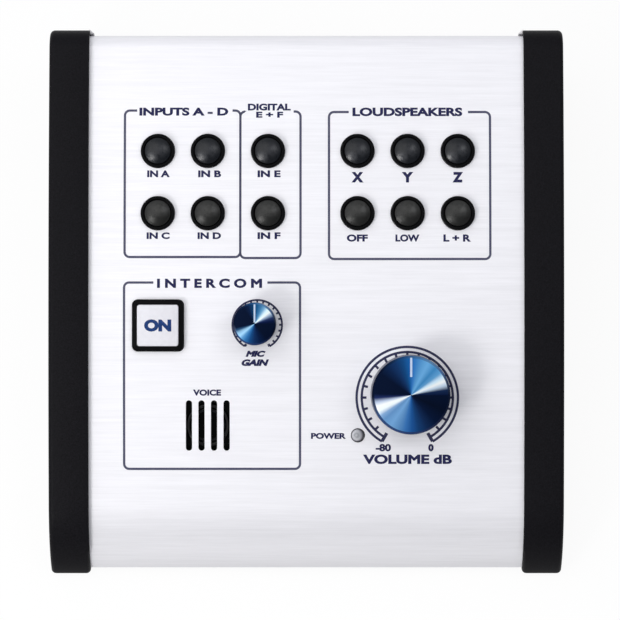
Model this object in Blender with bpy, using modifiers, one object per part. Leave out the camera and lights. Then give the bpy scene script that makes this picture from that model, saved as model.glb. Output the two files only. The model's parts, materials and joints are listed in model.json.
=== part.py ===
"""Desktop studio monitor controller, built as separate pieces that fit together.

Units are metres, X points to the user's right, +Y to the rear and +Z up. The origin is
on the table, under the middle of the bounding box.

The face is tilted towards the user. Everything that stands on it is placed in the face
frame: u runs along X, v up the face to the rear, and w out of the face. The face is
gently crowned, rolls down to the table at the front and folds down at the rear. A lean
is the angle between a surface's outward normal and up, counted towards the user.
"""

import math

import bmesh
import bpy
from mathutils import Matrix, Vector

# Clearances
FIT_GAP = 0.0003
RUNNING_GAP = 0.0002
CUT_OVERRUN = 0.002

# Overall form
BODY_WIDTH = 0.152
FACE_TILT_DEG = 12.0
TABLE_GAP = 0.0015

# Brushed top cover, one bent sheet
COVER_THICKNESS = 0.0015
CROWN_RADIUS = 0.840
CROWN_APEX_V = -0.0113
ROLL_START_V = -0.0599
ROLL_RADIUS = 0.025
ROLL_END_LEAN_DEG = 56.0
REAR_LIMIT_V = 0.079
REAR_BEND_RADIUS = 0.0045
COVER_EDGE_Z = 0.0032
CROWN_STEPS = 10
ROLL_STEPS = 10
BEND_STEPS = 8

# Moulded end cheeks
CHEEK_WIDTH = 0.0118
CHEEK_PROUD = 0.00165
CHEEK_EDGE_ROUND = 0.0013
CHEEK_EDGE_SEGMENTS = 2
BEVEL_EDGE_ANGLE_DEG = 50.0
CHEEK_NOSE_RADIUS = 0.0015
CHEEK_HEEL_RADIUS = 0.003
CHEEK_OUTER_WALL = 0.0030
CHEEK_LEDGE = 0.0016
CHEEK_FLOOR = 0.0030
GROOVE_DEPTH = 0.0022
CORNER_STEPS = 4

# Screw bosses moulded in the cheeks
BOSS_REACH = 0.0080
BOSS_LENGTH = 0.0080
BOSS_HEIGHT = 0.0085
BOSS_INSET = 0.0190
BASE_SCREW_INSET = 0.0040

# Steel base tray
TRAY_THICKNESS = 0.0012
TRAY_UNDERSIDE_Z = 0.0025
TRAY_FRONT_LIP_ANGLE_DEG = 13.0
TRAY_REAR_LIP = 0.0065
TRAY_LIP_STEPS = 3

# Rubber feet
FOOT_RADIUS = 0.0060
FOOT_CHAMFER = 0.0005
FOOT_INSET_X = 0.0150
FOOT_INSET_Y = 0.0170

# Base screws
BASE_SCREW_RADIUS = 0.0015
BASE_SCREW_HEAD_RADIUS = 0.0028
BASE_SCREW_HEAD_HEIGHT = 0.0014
BASE_SCREW_LENGTH = 0.0075
RECESS_WIDTH = 0.0007
RECESS_DEPTH = 0.0008
RECESS_SPAN_SHARE = 0.6
RECESS_TURN_DEG = 10.0

# Round buttons: two groups, two rows. The shares here and below are of the cover's half width.
LEFT_COLUMN_SHARES = (-0.6822, -0.4525, -0.1760)
RIGHT_COLUMN_SHARES = (0.2352, 0.4657, 0.6963)
REAR_BUTTON_ROW_V = 0.0445
FRONT_BUTTON_ROW_V = 0.0261
LEFT_NAMES = (("input_1", "input_2", "digital_in_1"), ("input_3", "input_4", "digital_in_2"))
RIGHT_NAMES = (("speaker_a", "speaker_b", "speaker_c"), ("mute", "dim", "mono"))
COLLAR_RADIUS = 0.0049
COLLAR_WALL = 0.0009
COLLAR_PROUD = 0.0016
COLLAR_RIM_ROUND = 0.0005
GUIDE_MARGIN = 0.0075
GUIDE_THICKNESS = 0.0015
GUIDE_CORNER = 0.0020
CAP_SHOULDER_PROUD = 0.0014
CAP_CROWN_RISE = 0.0010
CAP_FLANGE_WIDTH = 0.0009
CAP_FLANGE_THICKNESS = 0.0010
CAP_STEM_RADIUS = 0.0016
CAP_TRAVEL = 0.0008
SWITCH_SIZE = 0.0062
SWITCH_HEIGHT = 0.0028
SWITCH_FLOOR = 0.0005
BUTTON_STEPS = 16
RIM_STEPS = 2
DOME_STEPS = 2

# Square talkback key
KEY_U_SHARE = -0.6807
KEY_V = -0.0070
BEZEL_SIZE = 0.0150
BEZEL_WALL = 0.0012
BEZEL_CORNER = 0.0015
BEZEL_PROUD = 0.0017
BEZEL_FLANGE_WIDTH = 0.0011
BEZEL_FLANGE_THICKNESS = 0.0012
KEY_PROUD = 0.0022
KEY_CORNER = 0.0008
KEY_EDGE_ROUND = 0.0003
KEY_EDGE_SEGMENTS = 1
KEY_FLANGE_WIDTH = 0.0008
KEY_FLANGE_THICKNESS = 0.0010
KEY_STEM_RADIUS = 0.0022
KEY_TRAVEL = 0.0010
KEY_SWITCH_SIZE = 0.0120

# Rotary controls
MAIN_KNOB_U_SHARE = 0.4751
MAIN_KNOB_V = -0.0272
MAIN_KNOB_RADIUS = 0.01165
MAIN_KNOB_HEIGHT = 0.0140
MAIN_KNOB_CHAMFER = 0.0010
MIC_KNOB_U_SHARE = -0.2352
MIC_KNOB_V = -0.0065
MIC_KNOB_RADIUS = 0.0063
MIC_KNOB_HEIGHT = 0.0105
MIC_KNOB_CHAMFER = 0.0007
KNOB_LIFT = 0.0008
KNOB_TAPER = 0.0004
KNOB_CROWN = 0.0030
SHAFT_RADIUS = 0.0030
SHAFT_FLAT_DEPTH = 0.0008
SHAFT_FLAT_LENGTH = 0.0060
BUSHING_WALL = 0.0010
BUSHING_PROUD = 0.0004
POT_FLOOR = 0.0020
POT_HEIGHT = 0.0060
MAIN_POT_RADIUS = 0.0084
MIC_POT_WIDTH = 0.0098
MIC_POT_LENGTH = 0.0113
KNOB_STEPS = 32

# Talkback microphone behind its slots
MIC_U_SHARE = -0.4525
MIC_V = -0.0365
SLOT_COUNT = 4
SLOT_PITCH = 0.0037
SLOT_WIDTH = 0.0018
SLOT_LENGTH = 0.0149
MIC_CAPSULE_RADIUS = 0.00485
MIC_CAPSULE_HEIGHT = 0.0040
MIC_CAPSULE_CHAMFER = 0.0003
MIC_BOOT_WALL = 0.0014
MIC_BOOT_LIP = 0.0004

# Status light
LED_U_SHARE = 0.2368
LED_V = -0.0394
LED_RADIUS = 0.0019
LED_PROUD = 0.0013
LED_FLANGE_WIDTH = 0.0005
LED_BODY_LENGTH = 0.0042
LED_LEG_WIDTH = 0.0005
LED_LEG_PITCH = 0.00254
LED_STEPS = 16
LED_DOME_STEPS = 4

# Control board
BOARD_SIDE_GAP = 0.0062
BOARD_FRONT_V = -0.0500
BOARD_REAR_V = 0.0610
BOARD_THICKNESS = 0.0016
BOARD_CORNER = 0.0020
HEADER_WIDTH = 0.0120
HEADER_LENGTH = 0.0050
HEADER_HEIGHT = 0.0045
HEADER_V = 0.0440
STANDOFF_RADIUS = 0.0027
STANDOFF_INSET = 0.0042
BOARD_SCREW_RADIUS = 0.00125
BOARD_SCREW_HEAD_RADIUS = 0.0022
BOARD_SCREW_HEAD_HEIGHT = 0.0012
BOARD_SCREW_LENGTH = 0.0050

# Rear socket, nine contacts in a D-shaped shell
SOCKET_Z = 0.0165
SOCKET_WIDTH = 0.0169
SOCKET_HEIGHT = 0.0083
SOCKET_SLANT_DEG = 10.0
SOCKET_CORNER = 0.0016
SOCKET_WALL = 0.0005
SOCKET_REACH = 0.0042
SOCKET_FLANGE_MARGIN = 0.0029
SOCKET_FLANGE_HEIGHT = 0.0125
SOCKET_FLANGE_THICKNESS = 0.0008
SOCKET_BODY_WIDTH = 0.0190
SOCKET_BODY_HEIGHT = 0.0108
SOCKET_BODY_DEPTH = 0.0060
CONTACT_RADIUS = 0.00055
CONTACT_PITCH = 0.00277
CONTACT_ROW_GAP = 0.00284
CONTACT_DEPTH = 0.0040
CONTACT_ROWS = (5, 4)
CONTACT_STEPS = 8
JACKSCREW_SPACING = 0.0250
JACKSCREW_HEX_RADIUS = 0.00275
JACKSCREW_HEX_LENGTH = 0.0050
JACKSCREW_SHANK_RADIUS = 0.0014
JACKSCREW_SHANK_LENGTH = 0.0040
JACKSCREW_BORE_RADIUS = 0.0012
JACKSCREW_BORE_DEPTH = 0.0035
HEX_SIDES = 6

# Ribbon from the board to the socket
RIBBON_WIDTH = 0.0114
RIBBON_THICKNESS = 0.0009
RIBBON_SLACK = 0.0120
RIBBON_STEPS = 14

SMALL_STEPS = 12
SCREW_STEPS = 8
STEM_STEPS = 16
CAN_STEPS = 20
SMOOTH_ANGLE_DEG = 35.0
MERGE_DISTANCE = 0.00001
FLAT_NORMAL_SHARE = 0.9


# Places worked out from the sizes

FACE_TILT = math.radians(FACE_TILT_DEG)
CROWN_TO_ROLL = CROWN_RADIUS - ROLL_RADIUS
CROWN_TO_BEND = CROWN_RADIUS - REAR_BEND_RADIUS
ROLL_LEAN = math.asin((CROWN_APEX_V - ROLL_START_V) / CROWN_RADIUS)
BEND_LEAN = -math.asin((REAR_LIMIT_V - REAR_BEND_RADIUS - CROWN_APEX_V) / CROWN_TO_BEND)
ROLL_END_LEAN = math.radians(ROLL_END_LEAN_DEG)
PANEL_HALF = BODY_WIDTH / 2 - CHEEK_WIDTH
BOARD_WIDTH = 2 * (PANEL_HALF - BOARD_SIDE_GAP)
LEFT_COLUMNS_U = [share * PANEL_HALF for share in LEFT_COLUMN_SHARES]
RIGHT_COLUMNS_U = [share * PANEL_HALF for share in RIGHT_COLUMN_SHARES]
BUTTON_ROWS_V = [REAR_BUTTON_ROW_V, FRONT_BUTTON_ROW_V]
KEY_U = KEY_U_SHARE * PANEL_HALF
MAIN_KNOB_U = MAIN_KNOB_U_SHARE * PANEL_HALF
MIC_KNOB_U = MIC_KNOB_U_SHARE * PANEL_HALF
MIC_U = MIC_U_SHARE * PANEL_HALF
LED_U = LED_U_SHARE * PANEL_HALF


def arc(centre, radius, lean_from, lean_to, steps):
    """Points on a circle seen from the side, from one lean to another."""
    points = []
    for step in range(steps + 1):
        lean = lean_from + (lean_to - lean_from) * step / steps
        across = centre[0] - radius * math.sin(lean)
        up = centre[1] + radius * math.cos(lean)
        points.append((across, up))
    return points


def along_crown(radius_to_centre, lean):
    """The centre, in v and w, of a bend that is tangent to the crown at a lean."""
    return arc((CROWN_APEX_V, -CROWN_RADIUS), radius_to_centre, lean, lean, 1)[0]


ROLL_CENTRE_FACE = along_crown(CROWN_TO_ROLL, ROLL_LEAN)
BEND_CENTRE_FACE = along_crown(CROWN_TO_BEND, BEND_LEAN)
ROLL_END_FACE = arc(ROLL_CENTRE_FACE, ROLL_RADIUS, ROLL_END_LEAN, ROLL_END_LEAN, 1)[0]


def level(v, w):
    """How far back and up a point of the face frame lies from the frame's origin."""
    back = v * math.cos(FACE_TILT) - w * math.sin(FACE_TILT)
    up = v * math.sin(FACE_TILT) + w * math.cos(FACE_TILT)
    return back, up


FRAME_Z = COVER_EDGE_Z - level(*ROLL_END_FACE)[1]


def nose_of(offset, bottom_z):
    """The lean and centre of the small arc that joins the front roll to a flat bottom."""
    roll_back, roll_up = level(*ROLL_CENTRE_FACE)
    reach = ROLL_RADIUS + offset - CHEEK_NOSE_RADIUS
    rise = bottom_z + CHEEK_NOSE_RADIUS - (FRAME_Z + roll_up)
    lean = math.acos(rise / reach)
    return lean, (roll_back - reach * math.sin(lean), bottom_z + CHEEK_NOSE_RADIUS)


NOSE_LEAN, NOSE_CENTRE_LEVEL = nose_of(CHEEK_PROUD, TABLE_GAP)
FRONT_REACH = NOSE_CENTRE_LEVEL[0] - CHEEK_NOSE_RADIUS
PANEL_BACK = level(*BEND_CENTRE_FACE)[0] + REAR_BEND_RADIUS
REAR_REACH = PANEL_BACK + max(CHEEK_PROUD, SOCKET_REACH, JACKSCREW_HEX_LENGTH + FIT_GAP)
FRAME_Y = -(FRONT_REACH + REAR_REACH) / 2
PANEL_Y = FRAME_Y + PANEL_BACK


def side(v, w):
    """A point of the face frame in the side view, as world y and z."""
    back, up = level(v, w)
    return FRAME_Y + back, FRAME_Z + up


CROWN_CENTRE = side(CROWN_APEX_V, -CROWN_RADIUS)
ROLL_CENTRE = side(*ROLL_CENTRE_FACE)
BEND_CENTRE = side(*BEND_CENTRE_FACE)
NOSE_CENTRE = (FRAME_Y + NOSE_CENTRE_LEVEL[0], NOSE_CENTRE_LEVEL[1])
STRAIGHT_BACK = -math.pi / 2


def face_height(v):
    """The cover's outer surface in w at a place v on the crown."""
    run = v - CROWN_APEX_V
    return math.sqrt(CROWN_RADIUS ** 2 - run ** 2) - CROWN_RADIUS


def lean_at_height(radius, z):
    """The lean at which an arc round the roll's centre reaches a height."""
    return math.acos((z - ROLL_CENTRE[1]) / radius)


def skin(offset, front_lean, rear_z):
    """Side view of the cover's outer face moved out by an offset, from front to rear."""
    points = arc(ROLL_CENTRE, ROLL_RADIUS + offset, front_lean, ROLL_LEAN + FACE_TILT, ROLL_STEPS)
    points += arc(CROWN_CENTRE, CROWN_RADIUS + offset, ROLL_LEAN + FACE_TILT,
                  BEND_LEAN + FACE_TILT, CROWN_STEPS)[1:]
    points += arc(BEND_CENTRE, REAR_BEND_RADIUS + offset, BEND_LEAN + FACE_TILT,
                  STRAIGHT_BACK, BEND_STEPS)[1:]
    points.append((PANEL_Y + offset, rear_z))
    return points


# The stack under the face, from the cover down to the board

GUIDE_REAR_V = BUTTON_ROWS_V[0] + GUIDE_MARGIN
GUIDE_FRONT_V = BUTTON_ROWS_V[1] - GUIDE_MARGIN
GUIDE_TOP = face_height(GUIDE_REAR_V) - COVER_THICKNESS - FIT_GAP
GUIDE_BOTTOM = GUIDE_TOP - GUIDE_THICKNESS
CAP_FLANGE_TOP = GUIDE_BOTTOM - FIT_GAP
CAP_FLANGE_BOTTOM = CAP_FLANGE_TOP - CAP_FLANGE_THICKNESS
SWITCH_TOP = CAP_FLANGE_BOTTOM - CAP_TRAVEL - FIT_GAP
BOARD_TOP = SWITCH_TOP - SWITCH_HEIGHT - FIT_GAP
BOARD_BOTTOM = BOARD_TOP - BOARD_THICKNESS
ON_BOARD = BOARD_TOP + FIT_GAP
COLLAR_BORE_RADIUS = COLLAR_RADIUS - COLLAR_WALL
CAP_RADIUS = COLLAR_BORE_RADIUS - RUNNING_GAP
BUSHING_RADIUS = SHAFT_RADIUS + FIT_GAP + BUSHING_WALL
STANDOFFS_UV = [
    (side_sign * (BOARD_WIDTH / 2 - STANDOFF_INSET), v)
    for side_sign in (-1, 1)
    for v in (BOARD_FRONT_V + STANDOFF_INSET, BOARD_REAR_V - STANDOFF_INSET)
]


# Scene set-up

def clear_scene():
    for existing in list(bpy.data.objects):
        bpy.data.objects.remove(existing, do_unlink=True)


def new_collection(name):
    collection = bpy.data.collections.new(name)
    bpy.context.scene.collection.children.link(collection)
    return collection


def principled(name, colour, roughness, metallic):
    """A Principled material in the part's own colour."""
    material = bpy.data.materials.new(name)
    material.use_nodes = True
    shader = material.node_tree.nodes["Principled BSDF"]
    shader.inputs["Base Color"].default_value = (*colour, 1.0)
    shader.inputs["Roughness"].default_value = roughness
    shader.inputs["Metallic"].default_value = metallic
    material.diffuse_color = (*colour, 1.0)
    return material


clear_scene()
PARTS = new_collection("studio_monitor_controller")
HELPERS = new_collection("cutters")

FINISHES = {
    "brushed_aluminium": ((0.80, 0.80, 0.83), 0.32, 1.0),
    "black_moulding": ((0.016, 0.016, 0.019), 0.55, 0.0),
    "black_steel": ((0.022, 0.022, 0.024), 0.50, 0.3),
    "rubber": ((0.020, 0.020, 0.020), 0.90, 0.0),
    "smoked_cap": ((0.030, 0.031, 0.036), 0.18, 0.0),
    "gloss_black": ((0.012, 0.012, 0.014), 0.25, 0.0),
    "milk_white": ((0.82, 0.83, 0.92), 0.30, 0.0),
    "blue_anodised": ((0.020, 0.110, 0.420), 0.28, 1.0),
    "clear_lens": ((0.55, 0.56, 0.58), 0.10, 0.0),
    "zinc_steel": ((0.62, 0.62, 0.62), 0.35, 1.0),
    "board_green": ((0.020, 0.120, 0.050), 0.45, 0.0),
    "ribbon_grey": ((0.35, 0.35, 0.36), 0.60, 0.0),
}


# Shape helpers

def link(name, data, collection, parent=None, location=(0, 0, 0)):
    piece = bpy.data.objects.new(name, data)
    collection.objects.link(piece)
    piece.parent = parent
    piece.location = location
    if collection == HELPERS:
        piece.hide_render = True
        piece.display_type = "WIRE"
    return piece


def evaluated_mesh(source):
    """The mesh of an object with its modifiers, or of a curve, in its own coordinates."""
    bpy.context.view_layer.update()
    graph = bpy.context.evaluated_depsgraph_get()
    return bpy.data.meshes.new_from_object(source.evaluated_get(graph))


def circle(centre, radius, steps):
    """A round outline."""
    points = []
    for step in range(steps):
        turn = 2 * math.pi * step / steps
        points.append((centre[0] + radius * math.cos(turn), centre[1] + radius * math.sin(turn)))
    return points


def rounded(corners, radius, steps):
    """A closed outline with an arc in each corner."""
    points = []
    for index, corner in enumerate(corners):
        here = Vector(corner)
        to_last = (Vector(corners[index - 1]) - here).normalized()
        to_next = (Vector(corners[(index + 1) % len(corners)]) - here).normalized()
        half_angle = to_last.angle(to_next) / 2
        centre = here + (to_last + to_next).normalized() * (radius / math.sin(half_angle))
        first = (here + to_last * (radius / math.tan(half_angle)) - centre).normalized()
        last = (here + to_next * (radius / math.tan(half_angle)) - centre).normalized()
        for step in range(steps + 1):
            points.append(tuple(centre + first.slerp(last, step / steps) * radius))
    return points


def rectangle(centre, width, height):
    """The four corners of a rectangle, anticlockwise."""
    left = centre[0] - width / 2
    right = centre[0] + width / 2
    low = centre[1] - height / 2
    high = centre[1] + height / 2
    return [(left, low), (right, low), (right, high), (left, high)]


def slot(centre, width, length, steps):
    """A slot with round ends, long way up."""
    half_run = (length - width) / 2
    points = []
    for end_sign in (1, -1):
        for step in range(steps + 1):
            turn = math.pi * step / steps
            across = width / 2 * math.cos(turn)
            along = half_run + width / 2 * math.sin(turn)
            points.append((centre[0] + end_sign * across, centre[1] + end_sign * along))
    return points


def extruded(name, outlines, low, high, collection, parent=None, location=(0, 0, 0)):
    """Flat outlines given a thickness along local Z. An outline inside another is a hole."""
    curve = bpy.data.curves.new(name, "CURVE")
    curve.dimensions = "2D"
    curve.fill_mode = "BOTH"
    curve.extrude = (high - low) / 2
    for outline in outlines:
        spline = curve.splines.new("POLY")
        spline.points.add(len(outline) - 1)
        for point, place in zip(spline.points, outline):
            point.co = (place[0], place[1], 0, 1)
        spline.use_cyclic_u = True
    guide = link(name + "_outline", curve, HELPERS)
    mesh = evaluated_mesh(guide)
    bpy.data.objects.remove(guide, do_unlink=True)
    edit = bmesh.new()
    edit.from_mesh(mesh)
    bmesh.ops.remove_doubles(edit, verts=edit.verts, dist=MERGE_DISTANCE)
    if len(outlines) == 1:
        for cap_sign in (1, -1):
            caps = [face for face in edit.faces if face.normal.z * cap_sign > FLAT_NORMAL_SHARE]
            bmesh.ops.dissolve_faces(edit, faces=caps)
    bmesh.ops.recalc_face_normals(edit, faces=edit.faces)
    bmesh.ops.translate(edit, verts=edit.verts, vec=(0, 0, (high + low) / 2))
    edit.to_mesh(mesh)
    edit.free()
    return link(name, mesh, collection, parent, location)


def stand_on_side(piece):
    """Turn an outline drawn in the side view so that its thickness runs along X."""
    piece.data.transform(Matrix(((0, 0, 1, 0), (1, 0, 0, 0), (0, 1, 0, 0), (0, 0, 0, 1))))
    return piece


def turned(name, profile, steps, collection, parent=None, location=(0, 0, 0)):
    """A turned shape: its half profile runs down the outer side, from the axis to the axis."""
    mesh = bpy.data.meshes.new(name)
    places = [(radius, 0, height) for radius, height in profile]
    edges = [(index, index + 1) for index in range(len(places) - 1)]
    mesh.from_pydata(places, edges, [])
    piece = link(name, mesh, collection, parent, location)
    screw = piece.modifiers.new("turn", "SCREW")
    screw.axis = "Z"
    screw.angle = 2 * math.pi
    screw.steps = steps
    screw.render_steps = steps
    screw.use_merge_vertices = True
    screw.merge_threshold = MERGE_DISTANCE
    return piece


def block(name, size, centre, collection, parent=None, location=(0, 0, 0)):
    """A plain box."""
    edit = bmesh.new()
    bmesh.ops.create_cube(edit, size=1.0)
    bmesh.ops.scale(edit, verts=edit.verts, vec=size)
    bmesh.ops.translate(edit, verts=edit.verts, vec=centre)
    mesh = bpy.data.meshes.new(name)
    edit.to_mesh(mesh)
    edit.free()
    return link(name, mesh, collection, parent, location)


def merged_copies(name, source, places, parent=None):
    """One helper object that holds a copy of the source at each place. The source goes."""
    single = evaluated_mesh(source)
    edit = bmesh.new()
    for place in places:
        before = len(edit.verts)
        edit.from_mesh(single)
        edit.verts.ensure_lookup_table()
        bmesh.ops.translate(edit, verts=edit.verts[before:], vec=place)
    mesh = bpy.data.meshes.new(name)
    edit.to_mesh(mesh)
    edit.free()
    bpy.data.objects.remove(source, do_unlink=True)
    return link(name, mesh, HELPERS, parent)


def combine(piece, helper, operation):
    """A live Boolean between a piece and a helper."""
    modifier = piece.modifiers.new(helper.name, "BOOLEAN")
    modifier.operation = operation
    modifier.solver = "EXACT"
    modifier.object = helper


def cut(piece, helper):
    combine(piece, helper, "DIFFERENCE")


def join(piece, helper):
    combine(piece, helper, "UNION")


def round_edges(piece, width, segments):
    """Rounded edges wherever two faces meet sharply."""
    bevel = piece.modifiers.new("rounding", "BEVEL")
    bevel.width = width
    bevel.segments = segments
    bevel.limit_method = "ANGLE"
    bevel.angle_limit = math.radians(BEVEL_EDGE_ANGLE_DEG)


def finish(piece, finish_name):
    """Keep the modelled shape as the piece's own mesh, shade it and give it its material."""
    mesh = evaluated_mesh(piece)
    mesh.name = piece.name
    piece.modifiers.clear()
    piece.data = mesh
    mesh.shade_smooth()
    mesh.set_sharp_from_angle(angle=math.radians(SMOOTH_ANGLE_DEG))
    mesh.materials.clear()
    colour, roughness, metallic = FINISHES[finish_name]
    mesh.materials.append(principled(piece.name, colour, roughness, metallic))
    return piece


def copy_of(piece, name, location, finish_name):
    """Another piece from the same mould."""
    twin = link(name, piece.data.copy(), PARTS, piece.parent, location)
    return finish(twin, finish_name)


# Face frame

def make_face_frame():
    frame = bpy.data.objects.new("face_frame", None)
    HELPERS.objects.link(frame)
    frame.hide_render = True
    frame.location = (0, FRAME_Y, FRAME_Z)
    frame.rotation_euler = (FACE_TILT, 0, 0)
    return frame


FACE = make_face_frame()


# Casing

def make_bent_sheet(name, profile, half_width, thickness):
    """A sheet with the profile as its outer face, thickened inwards."""
    edit = bmesh.new()
    line = [edit.verts.new((-half_width, y, z)) for y, z in profile]
    folds = [edit.edges.new(pair) for pair in zip(line, line[1:])]
    swept = bmesh.ops.extrude_edge_only(edit, edges=folds)["geom"]
    moved = [item for item in swept if isinstance(item, bmesh.types.BMVert)]
    bmesh.ops.translate(edit, verts=moved, vec=(2 * half_width, 0, 0))
    mesh = bpy.data.meshes.new(name)
    edit.to_mesh(mesh)
    edit.free()
    sheet = link(name, mesh, PARTS)
    shell = sheet.modifiers.new("thickness", "SOLIDIFY")
    shell.thickness = thickness
    shell.offset = -1
    shell.use_even_offset = True
    return sheet


def face_openings():
    """Every hole in the face, as outlines in u and v."""
    hole_radius = COLLAR_RADIUS + RUNNING_GAP
    outlines = []
    for v in BUTTON_ROWS_V:
        for u in LEFT_COLUMNS_U + RIGHT_COLUMNS_U:
            outlines.append(circle((u, v), hole_radius, BUTTON_STEPS))
    key_hole = BEZEL_SIZE + 2 * RUNNING_GAP
    outlines.append(rounded(rectangle((KEY_U, KEY_V), key_hole, key_hole),
                            BEZEL_CORNER + RUNNING_GAP, CORNER_STEPS))
    first_slot = MIC_U - SLOT_PITCH * (SLOT_COUNT - 1) / 2
    for index in range(SLOT_COUNT):
        outlines.append(slot((first_slot + SLOT_PITCH * index, MIC_V),
                             SLOT_WIDTH, SLOT_LENGTH, CORNER_STEPS))
    for u, v in ((MAIN_KNOB_U, MAIN_KNOB_V), (MIC_KNOB_U, MIC_KNOB_V)):
        outlines.append(circle((u, v), BUSHING_RADIUS + FIT_GAP, BUTTON_STEPS))
    outlines.append(circle((LED_U, LED_V), LED_RADIUS + RUNNING_GAP, LED_STEPS))
    return outlines


def d_outline(width, height, corner):
    """The D shape of the rear socket, its wide side up, in x and z."""
    taper = height * math.tan(math.radians(SOCKET_SLANT_DEG))
    corners = [
        (-width / 2 + taper, -height / 2),
        (width / 2 - taper, -height / 2),
        (width / 2, height / 2),
        (-width / 2, height / 2),
    ]
    return rounded(corners, corner, CORNER_STEPS)


def make_socket_frame():
    """At the socket's centre on the rear panel's outer face, local Z out of the panel."""
    frame = bpy.data.objects.new("socket_frame", None)
    HELPERS.objects.link(frame)
    frame.hide_render = True
    frame.location = (0, PANEL_Y, SOCKET_Z)
    frame.rotation_euler = Matrix(((-1, 0, 0), (0, 0, 1), (0, 1, 0))).to_euler()
    return frame


SOCKET = make_socket_frame()


def make_cover():
    front_lean = ROLL_END_LEAN + FACE_TILT
    half_width = PANEL_HALF + GROOVE_DEPTH - FIT_GAP
    cover = make_bent_sheet("top_cover", skin(0, front_lean, COVER_EDGE_Z), half_width, COVER_THICKNESS)

    # Threaded standoffs pressed into the underside
    for index, place in enumerate(STANDOFFS_UV):
        top = face_height(place[1]) - COVER_THICKNESS / 2
        post = [circle(place, STANDOFF_RADIUS, SMALL_STEPS)]
        join(cover, extruded(f"standoff_{index}", post, ON_BOARD, top, HELPERS, FACE))
    bore_top = ON_BOARD + BOARD_SCREW_LENGTH - BOARD_THICKNESS
    bores = [circle(place, BOARD_SCREW_RADIUS + FIT_GAP, SMALL_STEPS) for place in STANDOFFS_UV]
    cut(cover, extruded("standoff_bores", bores, ON_BOARD - CUT_OVERRUN, bore_top, HELPERS, FACE))

    # Openings for the controls
    deepest = GUIDE_TOP
    cut(cover, extruded("face_openings", face_openings(), deepest, CUT_OVERRUN, HELPERS, FACE))

    # Openings for the rear socket and its jackscrews
    holes = [d_outline(SOCKET_WIDTH + 2 * FIT_GAP, SOCKET_HEIGHT + 2 * FIT_GAP, SOCKET_CORNER + FIT_GAP)]
    for side_sign in (-1, 1):
        centre = (side_sign * JACKSCREW_SPACING / 2, 0)
        holes.append(circle(centre, JACKSCREW_SHANK_RADIUS + FIT_GAP, SMALL_STEPS))
    cut(cover, extruded("rear_openings", holes, -COVER_THICKNESS - CUT_OVERRUN, CUT_OVERRUN,
                        HELPERS, SOCKET))
    return finish(cover, "brushed_aluminium")


def cheek_outline():
    """The cheek from the side: a nose, the roll, the crown, the rear bend and a heel."""
    heel_centre = (PANEL_Y + CHEEK_PROUD - CHEEK_HEEL_RADIUS, TABLE_GAP + CHEEK_HEEL_RADIUS)
    points = arc(NOSE_CENTRE, CHEEK_NOSE_RADIUS, math.pi, NOSE_LEAN, CORNER_STEPS)
    points += skin(CHEEK_PROUD, NOSE_LEAN, TABLE_GAP + CHEEK_HEEL_RADIUS)[1:]
    points += arc(heel_centre, CHEEK_HEEL_RADIUS, STRAIGHT_BACK, -math.pi, CORNER_STEPS)[1:]
    return points


def groove_outline():
    """The groove that holds the cover's edge, the cover's own profile with a gap round it."""
    front_lean = ROLL_END_LEAN + FACE_TILT + FIT_GAP / ROLL_RADIUS
    outer = skin(FIT_GAP, front_lean, COVER_EDGE_Z - FIT_GAP)
    inner = skin(-COVER_THICKNESS - FIT_GAP, front_lean, COVER_EDGE_Z - FIT_GAP)
    return outer + inner[::-1]


def pocket_outline():
    """The hollow behind the cheek's outer wall."""
    depth = COVER_THICKNESS + FIT_GAP + CHEEK_LEDGE
    floor_z = TABLE_GAP + CHEEK_FLOOR
    return skin(-depth, lean_at_height(ROLL_RADIUS - depth, floor_z), floor_z)


def boss_rows():
    """Where the screw bosses stand along the depth of the body."""
    front = FRAME_Y + FRONT_REACH + BOSS_INSET
    rear = PANEL_Y - BOSS_INSET
    return front, rear


def make_cheek(name, side_sign):
    """One end cheek, hollow behind its outer wall, with a groove and two screw bosses."""
    inner = side_sign * PANEL_HALF
    outer = side_sign * BODY_WIDTH / 2
    low, high = min(inner, outer), max(inner, outer)
    cheek = stand_on_side(extruded(name, [cheek_outline()], low, high, PARTS))
    round_edges(cheek, CHEEK_EDGE_ROUND, CHEEK_EDGE_SEGMENTS)

    pocket_from = inner - side_sign * CUT_OVERRUN
    pocket_to = outer - side_sign * CHEEK_OUTER_WALL
    pocket = extruded(name + "_pocket", [pocket_outline()], min(pocket_from, pocket_to),
                      max(pocket_from, pocket_to), HELPERS)
    cut(cheek, stand_on_side(pocket))

    groove_to = inner + side_sign * GROOVE_DEPTH
    groove = extruded(name + "_groove", [groove_outline()], min(pocket_from, groove_to),
                      max(pocket_from, groove_to), HELPERS)
    cut(cheek, stand_on_side(groove))

    boss_low = TRAY_UNDERSIDE_Z + TRAY_THICKNESS + FIT_GAP
    boss_from = inner - side_sign * BOSS_REACH
    boss_to = outer - side_sign * CHEEK_OUTER_WALL / 2
    size = (abs(boss_to - boss_from), BOSS_LENGTH, BOSS_HEIGHT)
    for label, y in zip(("front", "rear"), boss_rows()):
        centre = ((boss_from + boss_to) / 2, y, boss_low + BOSS_HEIGHT / 2)
        join(cheek, block(f"{name}_{label}_boss", size, centre, HELPERS))
    x = inner - side_sign * BASE_SCREW_INSET
    bores = [circle((x, y), BASE_SCREW_RADIUS + FIT_GAP, SMALL_STEPS) for y in boss_rows()]
    bore_top = TRAY_UNDERSIDE_Z - FIT_GAP + BASE_SCREW_LENGTH + FIT_GAP
    cut(cheek, extruded(name + "_bores", bores, boss_low - CUT_OVERRUN, bore_top, HELPERS))
    return finish(cheek, "black_moulding")


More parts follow.
